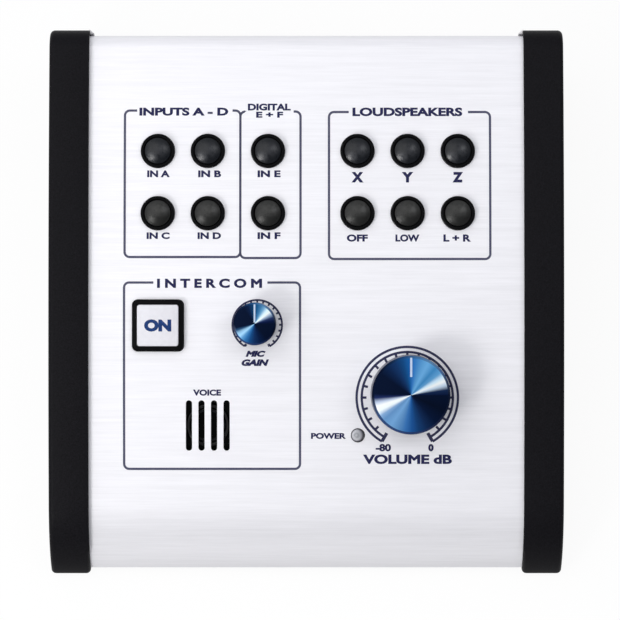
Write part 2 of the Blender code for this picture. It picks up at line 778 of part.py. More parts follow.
def make_tray():
    """The folded steel base, nested inside the cover's roll and rear panel."""
    nest = COVER_THICKNESS + FIT_GAP
    radius = ROLL_RADIUS - nest
    fold_lean = lean_at_height(radius, TRAY_UNDERSIDE_Z)
    lip_lean = fold_lean - math.radians(TRAY_FRONT_LIP_ANGLE_DEG)
    rear_y = PANEL_Y - nest
    profile = arc(ROLL_CENTRE, radius, lip_lean, fold_lean, TRAY_LIP_STEPS)
    profile += [(rear_y, TRAY_UNDERSIDE_Z), (rear_y, TRAY_UNDERSIDE_Z + TRAY_REAR_LIP)]
    tray = make_bent_sheet("base_tray", profile[::-1], PANEL_HALF - FIT_GAP, TRAY_THICKNESS)
    holes = []
    for side_sign in (-1, 1):
        x = side_sign * (PANEL_HALF - BASE_SCREW_INSET)
        holes += [circle((x, y), BASE_SCREW_RADIUS + FIT_GAP, SMALL_STEPS) for y in boss_rows()]
    cut(tray, extruded("tray_holes", holes, TRAY_UNDERSIDE_Z - CUT_OVERRUN,
                       TRAY_UNDERSIDE_Z + TRAY_THICKNESS + CUT_OVERRUN, HELPERS))
    return finish(tray, "black_steel")


def make_feet():
    """Four rubber feet under the tray."""
    top = TRAY_UNDERSIDE_Z - FIT_GAP
    profile = [
        (0, top),
        (FOOT_RADIUS, top),
        (FOOT_RADIUS, FOOT_CHAMFER),
        (FOOT_RADIUS - FOOT_CHAMFER, 0),
        (0, 0),
    ]
    front = FRAME_Y + FRONT_REACH + FOOT_INSET_Y
    rear = PANEL_Y - FOOT_INSET_Y
    for end, y in (("front", front), ("rear", rear)):
        for label, side_sign in (("left", -1), ("right", 1)):
            x = side_sign * (PANEL_HALF - FOOT_INSET_X)
            foot = turned(f"foot_{end}_{label}", profile, BUTTON_STEPS, PARTS, None, (x, y, 0))
            finish(foot, "rubber")


def cross_outline(span, width):
    """A plus sign, for a screw's recess."""
    far = span / 2
    near = width / 2
    turn = Matrix.Rotation(math.radians(RECESS_TURN_DEG), 2)
    arm = [Vector((far, -near)), Vector((far, near)), Vector((near, near))]
    points = []
    for _ in range(4):
        points += [tuple(turn @ corner) for corner in arm]
        arm = [corner.orthogonal() for corner in arm]
    return points


def make_screw(name, sizes, parent, location):
    """A screw that points up, its head's seat at local zero, with a cross recess."""
    radius, length, head_radius, head_height = sizes
    profile = [
        (0, length),
        (radius, length),
        (radius, 0),
        (head_radius, 0),
        (head_radius, -head_height / 2),
        (head_radius * RECESS_SPAN_SHARE, -head_height),
        (0, -head_height),
    ]
    screw = turned(name, profile, SCREW_STEPS, PARTS, parent, location)
    recess = extruded(name + "_recess", [cross_outline(head_radius, RECESS_WIDTH)],
                      -head_height - CUT_OVERRUN, -head_height + RECESS_DEPTH, HELPERS, parent, location)
    cut(screw, recess)
    return finish(screw, "zinc_steel")


def make_base_screws():
    sizes = (BASE_SCREW_RADIUS, BASE_SCREW_LENGTH, BASE_SCREW_HEAD_RADIUS, BASE_SCREW_HEAD_HEIGHT)
    for label, side_sign in (("left", -1), ("right", 1)):
        x = side_sign * (PANEL_HALF - BASE_SCREW_INSET)
        for end, y in zip(("front", "rear"), boss_rows()):
            place = (x, y, TRAY_UNDERSIDE_Z - FIT_GAP)
            make_screw(f"base_screw_{end}_{label}", sizes, None, place)


# Round buttons

def make_guide(name, columns):
    """The moulded guide under the face, with a collar for each cap of a group."""
    low_u = min(columns) - GUIDE_MARGIN
    high_u = max(columns) + GUIDE_MARGIN
    centre = ((low_u + high_u) / 2, (GUIDE_FRONT_V + GUIDE_REAR_V) / 2)
    plate = rectangle(centre, high_u - low_u, GUIDE_REAR_V - GUIDE_FRONT_V)
    guide = extruded(name, [rounded(plate, GUIDE_CORNER, CORNER_STEPS)],
                     GUIDE_BOTTOM, GUIDE_TOP, PARTS, FACE)
    sunk = (GUIDE_TOP + GUIDE_BOTTOM) / 2
    for row, v in enumerate(BUTTON_ROWS_V):
        top = face_height(v) + COLLAR_PROUD
        rim = [(0, top)]
        rim += arc((COLLAR_RADIUS - COLLAR_RIM_ROUND, top - COLLAR_RIM_ROUND), COLLAR_RIM_ROUND,
                   0, STRAIGHT_BACK, RIM_STEPS)
        rim += [(COLLAR_RADIUS, sunk), (0, sunk)]
        single = turned(f"{name}_collar", rim, BUTTON_STEPS, HELPERS)
        join(guide, merged_copies(f"{name}_collars_{row}", single, [(u, v, 0) for u in columns], FACE))
    bores = [circle((u, v), COLLAR_BORE_RADIUS, BUTTON_STEPS) for v in BUTTON_ROWS_V for u in columns]
    cut(guide, extruded(name + "_bores", bores, GUIDE_BOTTOM - CUT_OVERRUN,
                        COLLAR_PROUD + CUT_OVERRUN, HELPERS, FACE))
    return finish(guide, "gloss_black")


def cap_profile(v):
    """A smoked cap: a domed head, a flange that keeps it under the guide and a stem."""
    shoulder = face_height(v) + CAP_SHOULDER_PROUD
    dome_radius = (CAP_RADIUS ** 2 + CAP_CROWN_RISE ** 2) / (2 * CAP_CROWN_RISE)
    dome_lean = -math.asin(CAP_RADIUS / dome_radius)
    profile = arc((0, shoulder + CAP_CROWN_RISE - dome_radius), dome_radius, 0, dome_lean, DOME_STEPS)
    flange_radius = COLLAR_BORE_RADIUS + CAP_FLANGE_WIDTH
    stem_bottom = ON_BOARD + SWITCH_FLOOR + CAP_TRAVEL + FIT_GAP
    profile += [
        (CAP_RADIUS, CAP_FLANGE_TOP),
        (flange_radius, CAP_FLANGE_TOP),
        (flange_radius, CAP_FLANGE_BOTTOM),
        (CAP_STEM_RADIUS, CAP_FLANGE_BOTTOM),
        (CAP_STEM_RADIUS, stem_bottom),
        (0, stem_bottom),
    ]
    return profile


def make_switch(name, u, v):
    """A push switch on the board, bored for the cap's stem."""
    height = SWITCH_TOP - ON_BOARD
    switch = block(name, (SWITCH_SIZE, SWITCH_SIZE, height), (0, 0, ON_BOARD + height / 2),
                   PARTS, FACE, (u, v, 0))
    well = [circle((0, 0), CAP_STEM_RADIUS + FIT_GAP, SCREW_STEPS)]
    cut(switch, extruded(name + "_well", well, ON_BOARD + SWITCH_FLOOR, SWITCH_TOP + CUT_OVERRUN,
                         HELPERS, FACE, (u, v, 0)))
    return finish(switch, "gloss_black")


def make_round_buttons():
    switch = None
    for names, columns in ((LEFT_NAMES, LEFT_COLUMNS_U), (RIGHT_NAMES, RIGHT_COLUMNS_U)):
        for row_names, v in zip(names, BUTTON_ROWS_V):
            for name, u in zip(row_names, columns):
                cap = turned(f"{name}_cap", cap_profile(v), BUTTON_STEPS, PARTS, FACE, (u, v, 0))
                finish(cap, "smoked_cap")
                if switch is None:
                    switch = make_switch(f"{name}_switch", u, v)
                else:
                    copy_of(switch, f"{name}_switch", (u, v, 0), "gloss_black")


# Talkback key

BEZEL_FLANGE_TOP = face_height(KEY_V + BEZEL_SIZE / 2 + BEZEL_FLANGE_WIDTH) - COVER_THICKNESS - FIT_GAP
BEZEL_BOTTOM = BEZEL_FLANGE_TOP - BEZEL_FLANGE_THICKNESS
KEY_OPENING = BEZEL_SIZE - 2 * BEZEL_WALL
KEY_FLANGE_TOP = BEZEL_BOTTOM - FIT_GAP
KEY_FLANGE_BOTTOM = KEY_FLANGE_TOP - KEY_FLANGE_THICKNESS
KEY_SWITCH_TOP = KEY_FLANGE_BOTTOM - KEY_TRAVEL - FIT_GAP


def rounded_square(size, corner):
    return rounded(rectangle((0, 0), size, size), corner, CORNER_STEPS)


def make_key_bezel():
    place = (KEY_U, KEY_V, 0)
    flange_size = BEZEL_SIZE + 2 * BEZEL_FLANGE_WIDTH
    inside_flange = (BEZEL_BOTTOM + BEZEL_FLANGE_TOP) / 2
    bezel = extruded("talkback_bezel", [rounded_square(BEZEL_SIZE, BEZEL_CORNER)],
                     inside_flange, BEZEL_PROUD, PARTS, FACE, place)
    round_edges(bezel, KEY_EDGE_ROUND, KEY_EDGE_SEGMENTS)
    join(bezel, extruded("bezel_flange", [rounded_square(flange_size, BEZEL_CORNER)],
                         BEZEL_BOTTOM, BEZEL_FLANGE_TOP, HELPERS, FACE, place))
    opening = extruded("bezel_opening", [rounded_square(KEY_OPENING, KEY_CORNER + RUNNING_GAP)],
                       BEZEL_BOTTOM - CUT_OVERRUN, BEZEL_PROUD + CUT_OVERRUN, HELPERS, FACE, place)
    cut(bezel, opening)
    return finish(bezel, "gloss_black")


def make_key():
    """The square cap: its head rises through the bezel, its flange stays below it."""
    place = (KEY_U, KEY_V, 0)
    head_size = KEY_OPENING - 2 * RUNNING_GAP
    flange_size = KEY_OPENING + 2 * KEY_FLANGE_WIDTH
    inside_flange = (KEY_FLANGE_BOTTOM + KEY_FLANGE_TOP) / 2
    key = extruded("talkback_key", [rounded_square(head_size, KEY_CORNER)],
                   inside_flange, KEY_PROUD, PARTS, FACE, place)
    round_edges(key, KEY_EDGE_ROUND, KEY_EDGE_SEGMENTS)
    join(key, extruded("key_flange", [rounded_square(flange_size, KEY_CORNER)],
                       KEY_FLANGE_BOTTOM, KEY_FLANGE_TOP, HELPERS, FACE, place))
    stem_bottom = ON_BOARD + SWITCH_FLOOR + KEY_TRAVEL + FIT_GAP
    stem = [circle((0, 0), KEY_STEM_RADIUS, STEM_STEPS)]
    join(key, extruded("key_stem", stem, stem_bottom, inside_flange, HELPERS, FACE, place))
    return finish(key, "milk_white")


def make_key_switch():
    place = (KEY_U, KEY_V, 0)
    height = KEY_SWITCH_TOP - ON_BOARD
    switch = block("talkback_switch", (KEY_SWITCH_SIZE, KEY_SWITCH_SIZE, height),
                   (0, 0, ON_BOARD + height / 2), PARTS, FACE, place)
    well = [circle((0, 0), KEY_STEM_RADIUS + FIT_GAP, STEM_STEPS)]
    cut(switch, extruded("talkback_switch_well", well, ON_BOARD + SWITCH_FLOOR,
                         KEY_SWITCH_TOP + CUT_OVERRUN, HELPERS, FACE, place))
    return finish(switch, "gloss_black")


# Rotary controls

def make_knob(name, place, radius, height, chamfer):
    """A turned knob, bored from below for its shaft and relieved over the bushing."""
    base = face_height(place[1])
    bottom = base + KNOB_LIFT
    top = base + height
    bore_radius = SHAFT_RADIUS + FIT_GAP
    relief_radius = BUSHING_RADIUS + FIT_GAP
    relief_top = bottom + KNOB_LIFT
    profile = [
        (0, top),
        (radius - KNOB_TAPER - chamfer, top),
        (radius - KNOB_TAPER, top - chamfer),
        (radius, bottom + chamfer / 2),
        (radius - chamfer / 2, bottom),
        (relief_radius, bottom),
        (relief_radius, relief_top),
        (bore_radius, relief_top),
        (bore_radius, top - KNOB_CROWN),
        (0, top - KNOB_CROWN),
    ]
    knob = turned(name, profile, KNOB_STEPS, PARTS, FACE, (*place, 0))
    return finish(knob, "blue_anodised")


def make_shaft(name, place, height):
    """The control's shaft, from inside its body up into the knob, with a flat at the top."""
    top = face_height(place[1]) + height - KNOB_CROWN - FIT_GAP
    bottom = ON_BOARD + POT_FLOOR + FIT_GAP
    profile = [(0, top), (SHAFT_RADIUS, top), (SHAFT_RADIUS, bottom), (0, bottom)]
    shaft = turned(name, profile, STEM_STEPS, PARTS, FACE, (*place, 0))
    flat_depth = SHAFT_FLAT_DEPTH + CUT_OVERRUN
    flat_length = SHAFT_FLAT_LENGTH + CUT_OVERRUN
    centre = (0, SHAFT_FLAT_DEPTH - SHAFT_RADIUS - flat_depth / 2, top + CUT_OVERRUN - flat_length / 2)
    flat = block(name + "_flat", (2 * SHAFT_RADIUS, flat_depth, flat_length), centre,
                 HELPERS, FACE, (*place, 0))
    cut(shaft, flat)
    return finish(shaft, "zinc_steel")


def make_main_pot():
    place = (MAIN_KNOB_U, MAIN_KNOB_V)
    base = face_height(place[1])
    can_top = ON_BOARD + POT_HEIGHT
    bore_radius = SHAFT_RADIUS + FIT_GAP
    profile = [
        (0, ON_BOARD + POT_FLOOR),
        (bore_radius, ON_BOARD + POT_FLOOR),
        (bore_radius, base + BUSHING_PROUD),
        (BUSHING_RADIUS, base + BUSHING_PROUD),
        (BUSHING_RADIUS, can_top),
        (MAIN_POT_RADIUS, can_top),
        (MAIN_POT_RADIUS, ON_BOARD),
        (0, ON_BOARD),
    ]
    pot = turned("main_pot_body", profile, CAN_STEPS, PARTS, FACE, (*place, 0))
    return finish(pot, "zinc_steel")


def make_mic_pot():
    place = (MIC_KNOB_U, MIC_KNOB_V, 0)
    base = face_height(MIC_KNOB_V)
    pot = block("mic_pot_body", (MIC_POT_WIDTH, MIC_POT_LENGTH, POT_HEIGHT),
                (0, 0, ON_BOARD + POT_HEIGHT / 2), PARTS, FACE, place)
    bushing = [circle((0, 0), BUSHING_RADIUS, STEM_STEPS)]
    join(pot, extruded("mic_bushing", bushing, ON_BOARD + POT_HEIGHT / 2, base + BUSHING_PROUD,
                       HELPERS, FACE, place))
    bore = [circle((0, 0), SHAFT_RADIUS + FIT_GAP, STEM_STEPS)]
    cut(pot, extruded("mic_bore", bore, ON_BOARD + POT_FLOOR, BUSHING_PROUD + CUT_OVERRUN,
                      HELPERS, FACE, place))
    return finish(pot, "zinc_steel")


# Microphone and status light

MIC_UNDERSIDE = face_height(MIC_V - SLOT_LENGTH / 2) - COVER_THICKNESS - FIT_GAP


def make_mic_boot():
    """The rubber cup that holds the capsule behind the slots."""
    inner = MIC_CAPSULE_RADIUS + FIT_GAP
    outer = inner + MIC_BOOT_WALL
    floor = MIC_UNDERSIDE - MIC_BOOT_LIP - MIC_CAPSULE_HEIGHT - FIT_GAP
    profile = [
        (0, floor),
        (inner, floor),
        (inner, MIC_UNDERSIDE),
        (outer, MIC_UNDERSIDE),
        (outer, ON_BOARD),
        (0, ON_BOARD),
    ]
    return finish(turned("mic_boot", profile, CAN_STEPS, PARTS, FACE, (MIC_U, MIC_V, 0)), "rubber")


def make_mic_capsule():
    top = MIC_UNDERSIDE - MIC_BOOT_LIP
    bottom = top - MIC_CAPSULE_HEIGHT
    profile = [
        (0, top),
        (MIC_CAPSULE_RADIUS - MIC_CAPSULE_CHAMFER, top),
        (MIC_CAPSULE_RADIUS, top - MIC_CAPSULE_CHAMFER),
        (MIC_CAPSULE_RADIUS, bottom),
        (0, bottom),
    ]
    return finish(turned("mic_capsule", profile, CAN_STEPS, PARTS, FACE, (MIC_U, MIC_V, 0)), "zinc_steel")


def make_led():
    """The status light: a domed lens through the cover, a flange below it and two legs."""
    base = face_height(LED_V)
    place = (LED_U, LED_V, 0)
    flange_top = base - COVER_THICKNESS - FIT_GAP
    bottom = base - LED_BODY_LENGTH
    profile = arc((0, base + LED_PROUD - LED_RADIUS), LED_RADIUS, 0, STRAIGHT_BACK, LED_DOME_STEPS)
    profile += [
        (LED_RADIUS, flange_top),
        (LED_RADIUS + LED_FLANGE_WIDTH, flange_top),
        (LED_RADIUS + LED_FLANGE_WIDTH, bottom),
        (0, bottom),
    ]
    led = turned("status_led", profile, LED_STEPS, PARTS, FACE, place)
    leg_top = bottom + LED_LEG_WIDTH
    size = (LED_LEG_WIDTH, LED_LEG_WIDTH, leg_top - ON_BOARD)
    for label, side_sign in (("left", -1), ("right", 1)):
        centre = (side_sign * LED_LEG_PITCH / 2, 0, (leg_top + ON_BOARD) / 2)
        join(led, block(f"led_leg_{label}", size, centre, HELPERS, FACE, place))
    return finish(led, "clear_lens")


# Control board

def make_board():
    """The board that carries the switches and controls, with its ribbon header below."""
    centre = (0, (BOARD_FRONT_V + BOARD_REAR_V) / 2)
    plate = rectangle(centre, BOARD_WIDTH, BOARD_REAR_V - BOARD_FRONT_V)
    board = extruded("control_board", [rounded(plate, BOARD_CORNER, CORNER_STEPS)],
                     BOARD_BOTTOM, BOARD_TOP, PARTS, FACE)
    header_top = BOARD_TOP - BOARD_THICKNESS / 2
    header_bottom = BOARD_BOTTOM - HEADER_HEIGHT
    join(board, block("ribbon_header", (HEADER_WIDTH, HEADER_LENGTH, header_top - header_bottom),
                      (0, HEADER_V, (header_top + header_bottom) / 2), HELPERS, FACE))
    holes = [circle(place, BOARD_SCREW_RADIUS + FIT_GAP, SMALL_STEPS) for place in STANDOFFS_UV]
    cut(board, extruded("board_holes", holes, BOARD_BOTTOM - CUT_OVERRUN, BOARD_TOP + CUT_OVERRUN,
                        HELPERS, FACE))
    return finish(board, "board_green")


def make_board_screws():
    sizes = (BOARD_SCREW_RADIUS, BOARD_SCREW_LENGTH, BOARD_SCREW_HEAD_RADIUS, BOARD_SCREW_HEAD_HEIGHT)
    labels = ("front_left", "rear_left", "front_right", "rear_right")
    for label, (u, v) in zip(labels, STANDOFFS_UV):
        make_screw(f"board_screw_{label}", sizes, FACE, (u, v, BOARD_BOTTOM - FIT_GAP))


# Rear socket

SOCKET_FLANGE_WIDTH = JACKSCREW_SPACING + 2 * SOCKET_FLANGE_MARGIN
SOCKET_FLANGE_OUTER = -COVER_THICKNESS - FIT_GAP
SOCKET_FLANGE_INNER = SOCKET_FLANGE_OUTER - SOCKET_FLANGE_THICKNESS
SOCKET_BODY_OUTER = SOCKET_FLANGE_INNER - FIT_GAP
SOCKET_BODY_INNER = SOCKET_BODY_OUTER - SOCKET_BODY_DEPTH


def make_socket_shell():
    """The plated shell: a flange inside the panel and a D-shaped rim through it."""
    outer = d_outline(SOCKET_WIDTH, SOCKET_HEIGHT, SOCKET_CORNER)
    inner = d_outline(SOCKET_WIDTH - 2 * SOCKET_WALL, SOCKET_HEIGHT - 2 * SOCKET_WALL,
                      SOCKET_CORNER - SOCKET_WALL)
    flange = rounded(rectangle((0, 0), SOCKET_FLANGE_WIDTH, SOCKET_FLANGE_HEIGHT),
                     SOCKET_CORNER, CORNER_STEPS)
    shell = extruded("socket_shell", [flange], SOCKET_FLANGE_INNER, SOCKET_FLANGE_OUTER, PARTS, SOCKET)
    join(shell, extruded("socket_rim", [outer], SOCKET_FLANGE_INNER, SOCKET_REACH, HELPERS, SOCKET))
    openings = [inner]
    for side_sign in (-1, 1):
        centre = (side_sign * JACKSCREW_SPACING / 2, 0)
        openings.append(circle(centre, JACKSCREW_SHANK_RADIUS + FIT_GAP, SMALL_STEPS))
    cut(shell, extruded("socket_shell_openings", openings, SOCKET_FLANGE_INNER - CUT_OVERRUN,
                        SOCKET_REACH + CUT_OVERRUN, HELPERS, SOCKET))
    return finish(shell, "zinc_steel")


def make_socket_insert():
    """The insulator with its nine contact holes, filling the rim and standing out behind."""
    gap = SOCKET_WALL + FIT_GAP
    tongue = d_outline(SOCKET_WIDTH - 2 * gap, SOCKET_HEIGHT - 2 * gap, SOCKET_CORNER - gap)
    insert = extruded("socket_insert", [tongue], SOCKET_BODY_INNER, SOCKET_REACH - FIT_GAP, PARTS, SOCKET)
    body = rectangle((0, 0), SOCKET_BODY_WIDTH, SOCKET_BODY_HEIGHT)
    join(insert, extruded("insert_body", [body], SOCKET_BODY_INNER, SOCKET_BODY_OUTER, HELPERS, SOCKET))
    contacts = []
    for row_sign, count in zip((1, -1), CONTACT_ROWS):
        for index in range(count):
            across = CONTACT_PITCH * (index - (count - 1) / 2)
            contacts.append(circle((across, row_sign * CONTACT_ROW_GAP / 2), CONTACT_RADIUS, CONTACT_STEPS))
    cut(insert, extruded("contact_holes", contacts, SOCKET_REACH - FIT_GAP - CONTACT_DEPTH,
                         SOCKET_REACH + CUT_OVERRUN, HELPERS, SOCKET))
    return finish(insert, "gloss_black")


def make_jackscrews():
    """The two hexagonal posts that the plug's screws go into."""
    for label, side_sign in (("right", -1), ("left", 1)):
        place = (side_sign * JACKSCREW_SPACING / 2, 0, 0)
        post = extruded(f"jackscrew_{label}", [circle((0, 0), JACKSCREW_HEX_RADIUS, HEX_SIDES)],
                        FIT_GAP, FIT_GAP + JACKSCREW_HEX_LENGTH, PARTS, SOCKET, place)
        shank = [circle((0, 0), JACKSCREW_SHANK_RADIUS, SMALL_STEPS)]
        join(post, extruded(f"jackscrew_{label}_shank", shank, -JACKSCREW_SHANK_LENGTH,
                            FIT_GAP + JACKSCREW_HEX_LENGTH / 2, HELPERS, SOCKET, place))
        bore = [circle((0, 0), JACKSCREW_BORE_RADIUS, SMALL_STEPS)]
        mouth = FIT_GAP + JACKSCREW_HEX_LENGTH
        cut(post, extruded(f"jackscrew_{label}_bore", bore, mouth - JACKSCREW_BORE_DEPTH,
                           mouth + CUT_OVERRUN, HELPERS, SOCKET, place))
        finish(post, "zinc_steel")


def make_ribbon():
    """The flat cable that curves from the board's header down to the rear socket."""
    start = Vector(side(HEADER_V, BOARD_BOTTOM - HEADER_HEIGHT - FIT_GAP))
    end = Vector((PANEL_Y + SOCKET_BODY_INNER - FIT_GAP, SOCKET_Z))
    down_board = Vector((math.sin(FACE_TILT), -math.cos(FACE_TILT)))
    handles = [start, start + down_board * RIBBON_SLACK, end - Vector((RIBBON_SLACK, 0)), end]
    upper = []
    lower = []
    for step in range(RIBBON_STEPS + 1):
        share = step / RIBBON_STEPS
        rest = 1 - share
        place = (handles[0] * rest ** 3 + handles[1] * (3 * share * rest ** 2)
                 + handles[2] * (3 * share ** 2 * rest) + handles[3] * share ** 3)
        along = ((handles[1] - handles[0]) * rest ** 2 + (handles[2] - handles[1]) * (2 * share * rest)
                 + (handles[3] - handles[2]) * share ** 2).normalized()
        across = Vector((-along.y, along.x)) * (RIBBON_THICKNESS / 2)
        upper.append(tuple(place + across))
        lower.append(tuple(place - across))
    ribbon = extruded("link_ribbon", [upper + lower[::-1]], -RIBBON_WIDTH / 2, RIBBON_WIDTH / 2, PARTS)
    return finish(stand_on_side(ribbon), "ribbon_grey")


# Assembly

make_cover()
make_tray()
make_cheek("cheek_left", -1)
make_cheek("cheek_right", 1)
make_feet()
make_base_screws()
make_guide("button_guide_left", LEFT_COLUMNS_U)
make_guide("button_guide_right", RIGHT_COLUMNS_U)
make_round_buttons()
make_key_bezel()
make_key()
make_key_switch()
make_knob("main_knob", (MAIN_KNOB_U, MAIN_KNOB_V), MAIN_KNOB_RADIUS, MAIN_KNOB_HEIGHT, MAIN_KNOB_CHAMFER)
make_shaft("main_pot_shaft", (MAIN_KNOB_U, MAIN_KNOB_V), MAIN_KNOB_HEIGHT)
make_main_pot()
make_knob("mic_knob", (MIC_KNOB_U, MIC_KNOB_V), MIC_KNOB_RADIUS, MIC_KNOB_HEIGHT, MIC_KNOB_CHAMFER)
make_shaft("mic_pot_shaft", (MIC_KNOB_U, MIC_KNOB_V), MIC_KNOB_HEIGHT)
make_mic_pot()
make_mic_boot()
make_mic_capsule()
make_led()
make_board()
make_board_screws()
make_socket_shell()
make_socket_insert()
make_jackscrews()
make_ribbon()
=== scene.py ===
import json
import math

import bmesh
import bpy
from mathutils import Matrix, Vector


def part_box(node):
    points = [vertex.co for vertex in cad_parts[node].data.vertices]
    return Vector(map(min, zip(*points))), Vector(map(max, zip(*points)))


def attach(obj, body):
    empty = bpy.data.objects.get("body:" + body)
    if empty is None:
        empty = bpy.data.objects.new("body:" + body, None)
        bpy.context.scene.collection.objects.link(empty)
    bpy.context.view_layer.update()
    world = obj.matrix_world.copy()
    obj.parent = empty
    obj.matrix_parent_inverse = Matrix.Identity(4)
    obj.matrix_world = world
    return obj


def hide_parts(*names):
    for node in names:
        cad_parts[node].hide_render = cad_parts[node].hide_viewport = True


# Looks of a desktop studio monitor controller, in metres, in the frame of the solids.
# Places on the face are u, v and w: along X, up the face, and out of the face.

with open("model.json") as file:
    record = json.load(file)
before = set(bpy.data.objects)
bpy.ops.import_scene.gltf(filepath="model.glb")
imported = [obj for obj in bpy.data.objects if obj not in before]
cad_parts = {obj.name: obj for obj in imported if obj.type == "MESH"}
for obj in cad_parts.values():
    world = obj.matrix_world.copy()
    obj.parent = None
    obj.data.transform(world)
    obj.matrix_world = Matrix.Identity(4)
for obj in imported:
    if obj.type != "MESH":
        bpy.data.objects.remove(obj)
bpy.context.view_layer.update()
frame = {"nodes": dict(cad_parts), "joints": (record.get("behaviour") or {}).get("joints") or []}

# The photograph: its side in pixels, its scale at the face, and where its camera stood
PHOTO_SIDE_PX = 620
METRES_PER_PX = 0.0002946
VIEW_U = 0.00109
VIEW_V = -0.002445
VIEW_DISTANCE = 1.0
SENSOR_MM = 36.0
CLIP_START = 0.01

# Clearances
FIT_GAP = 0.0003
RUNNING_GAP = 0.0002
CUT_OVERRUN = 0.002

# Cover
MAIN_KNOB_V = -0.0272
COVER_THICKNESS = 0.0015
CROWN_RADIUS = 0.840
CROWN_APEX_V = -0.0113
ROLL_START_V = -0.0599
ROLL_RADIUS = 0.025
ROLL_END_LEAN_DEG = 56.0
REAR_LIMIT_V = 0.079
REAR_BEND_RADIUS = 0.0045
COVER_EDGE_Z = 0.0032
CROWN_STEPS = 40
ROLL_STEPS = 32
BEND_STEPS = 12

# Microphone slots
SLOT_COUNT = 4
SLOT_PITCH = 0.0037
SLOT_WIDTH = 0.00185
SLOT_LENGTH = 0.0149

# Cheeks
CHEEK_WIDTH = 0.0118
CHEEK_PROUD = 0.00165
CHEEK_EDGE_ROUND = 0.0014
CHEEK_EDGE_SEGMENTS = 5
INNER_EDGE_SHARE = 0.15
NOSE_HEIGHT = 0.012
WEB_REACH = 0.0012
CHEEK_NOSE_RADIUS = 0.0015
CHEEK_HEEL_RADIUS = 0.003
CHEEK_OUTER_WALL = 0.0030
CHEEK_LEDGE = 0.0016
CHEEK_FLOOR = 0.0030
TABLE_GAP = 0.0015
GROOVE_DEPTH = 0.0022
CORNER_STEPS = 6

# Base
FOOT_RADIUS = 0.0060
FOOT_EDGE_ROUND = 0.0005
FOOT_RECESS_RADIUS = 0.0022
FOOT_RECESS_DEPTH = 0.0006
BASE_SCREW_RADIUS = 0.0015
BASE_SCREW_HEAD_RADIUS = 0.0028
BASE_SCREW_HEAD_HEIGHT = 0.0014
SCREW_EDGE_ROUND = 0.0005
RECESS_SPAN = 0.0030
RECESS_WIDTH = 0.0007
RECESS_DEPTH = 0.0008

# Round buttons
COLLAR_RADIUS = 0.0049
COLLAR_WALL = 0.0009
COLLAR_PROUD = 0.0016
COLLAR_RIM_ROUND = 0.00035
GUIDE_THICKNESS = 0.0015
GUIDE_CORNER = 0.0020
CAP_SHOULDER_PROUD = 0.0014
CAP_CROWN_RISE = 0.0010
CAP_FLANGE_WIDTH = 0.0009
CAP_FLANGE_THICKNESS = 0.0010
CAP_STEM_RADIUS = 0.0016
CAP_STEM_LENGTH = 0.0022
DOME_STEPS = 12

# Talkback key
BEZEL_SIZE = 0.0150
BEZEL_WALL = 0.0012
BEZEL_CORNER = 0.0015
BEZEL_PROUD = 0.0017
BEZEL_FLANGE_WIDTH = 0.0011
BEZEL_FLANGE_THICKNESS = 0.0012
KEY_PROUD = 0.0022
KEY_CORNER = 0.0008
KEY_EDGE_ROUND = 0.0003
KEY_DEPTH = 0.0034
KEY_LEGEND_WIDTH = 0.0080
KEY_LEGEND_HEIGHT = 0.0036
EDGE_SEGMENTS = 3
ROUNDING_ANGLE_DEG = 50.0

# Knobs: radius, height, chamfer and taper, then the pointer's near end, far end and width
KNOBS = {
    "main": ((0.01165, 0.0140, 0.0007, 0.0002), (0.0053, 0.0109, 0.0006)),
    "mic": ((0.0063, 0.0105, 0.0005, 0.00005), (0.0004, 0.0057, 0.0005)),
}
KNOB_LIFT = 0.0008
KNOB_EDGE_ROUND = 0.00015
KNOB_CROWN = 0.0030
KNOB_BORE_RADIUS = 0.0033
BUSHING_WALL = 0.0010
KNOB_STEPS = 96

# Microphone and status light
MIC_CAPSULE_RADIUS = 0.00485
MIC_CAPSULE_RIM = 0.0006
MIC_FELT_SINK = 0.0002
MIC_BOOT_WALL = 0.0014
MIC_BOOT_LIP_ROUND = 0.0006
LED_RADIUS = 0.0019
LED_PROUD = 0.0013
LED_FLANGE_WIDTH = 0.0005
LED_BODY_LENGTH = 0.0042

# Rear socket
SOCKET_Z = 0.0165
SOCKET_WIDTH = 0.0169
SOCKET_HEIGHT = 0.0083
SOCKET_SLANT_DEG = 10.0
SOCKET_CORNER = 0.0016
JACKSCREW_SPACING = 0.0250
JACKSCREW_SHANK_RADIUS = 0.0014

# Printing
PRINT_LIFT = 0.00004
INK_THICKNESS = 0.00002
PRINT_STEP = 0.0015
TEXT_WEIGHT = 0.046
HEAVY_TEXT_WEIGHT = 0.066
TEXT_RESOLUTION = 4
TEXT_SLANT = 0.28
FRAME_LINE_PX = 2.3
FRAME_CORNER_PX = 5.0
END_BAR_SHARE = 1.4
SCALE_HALF_SWEEP_DEG = 150
SCALE_TICK_DEG = 15
SCALE_ARC_STEP_DEG = 3

# Meshes
STEPS = 64
SMALL_STEPS = 32
MERGE_DISTANCE = 0.000005
SMOOTH_ANGLE_DEG = 32.0

# Room: the colour, level and lean of its light, the top of its white horizon, and the floor
WHITE = (1, 1, 1, 1)
ROOM_COLOUR = (0.95, 0.96, 1.0, 1)
ROOM_LEVEL = 0.48
ROOM_LEAN = (-0.30, 0.28, 0.16)
HORIZON_TOP = 0.25
FLOOR_GLOW_SHARE = 0.93
FLOOR_TONE = 0.34
FLOOR_SEEN_TONE = 0.92
FLOOR_Z = -0.0001
FLOOR_HALF = 3.0

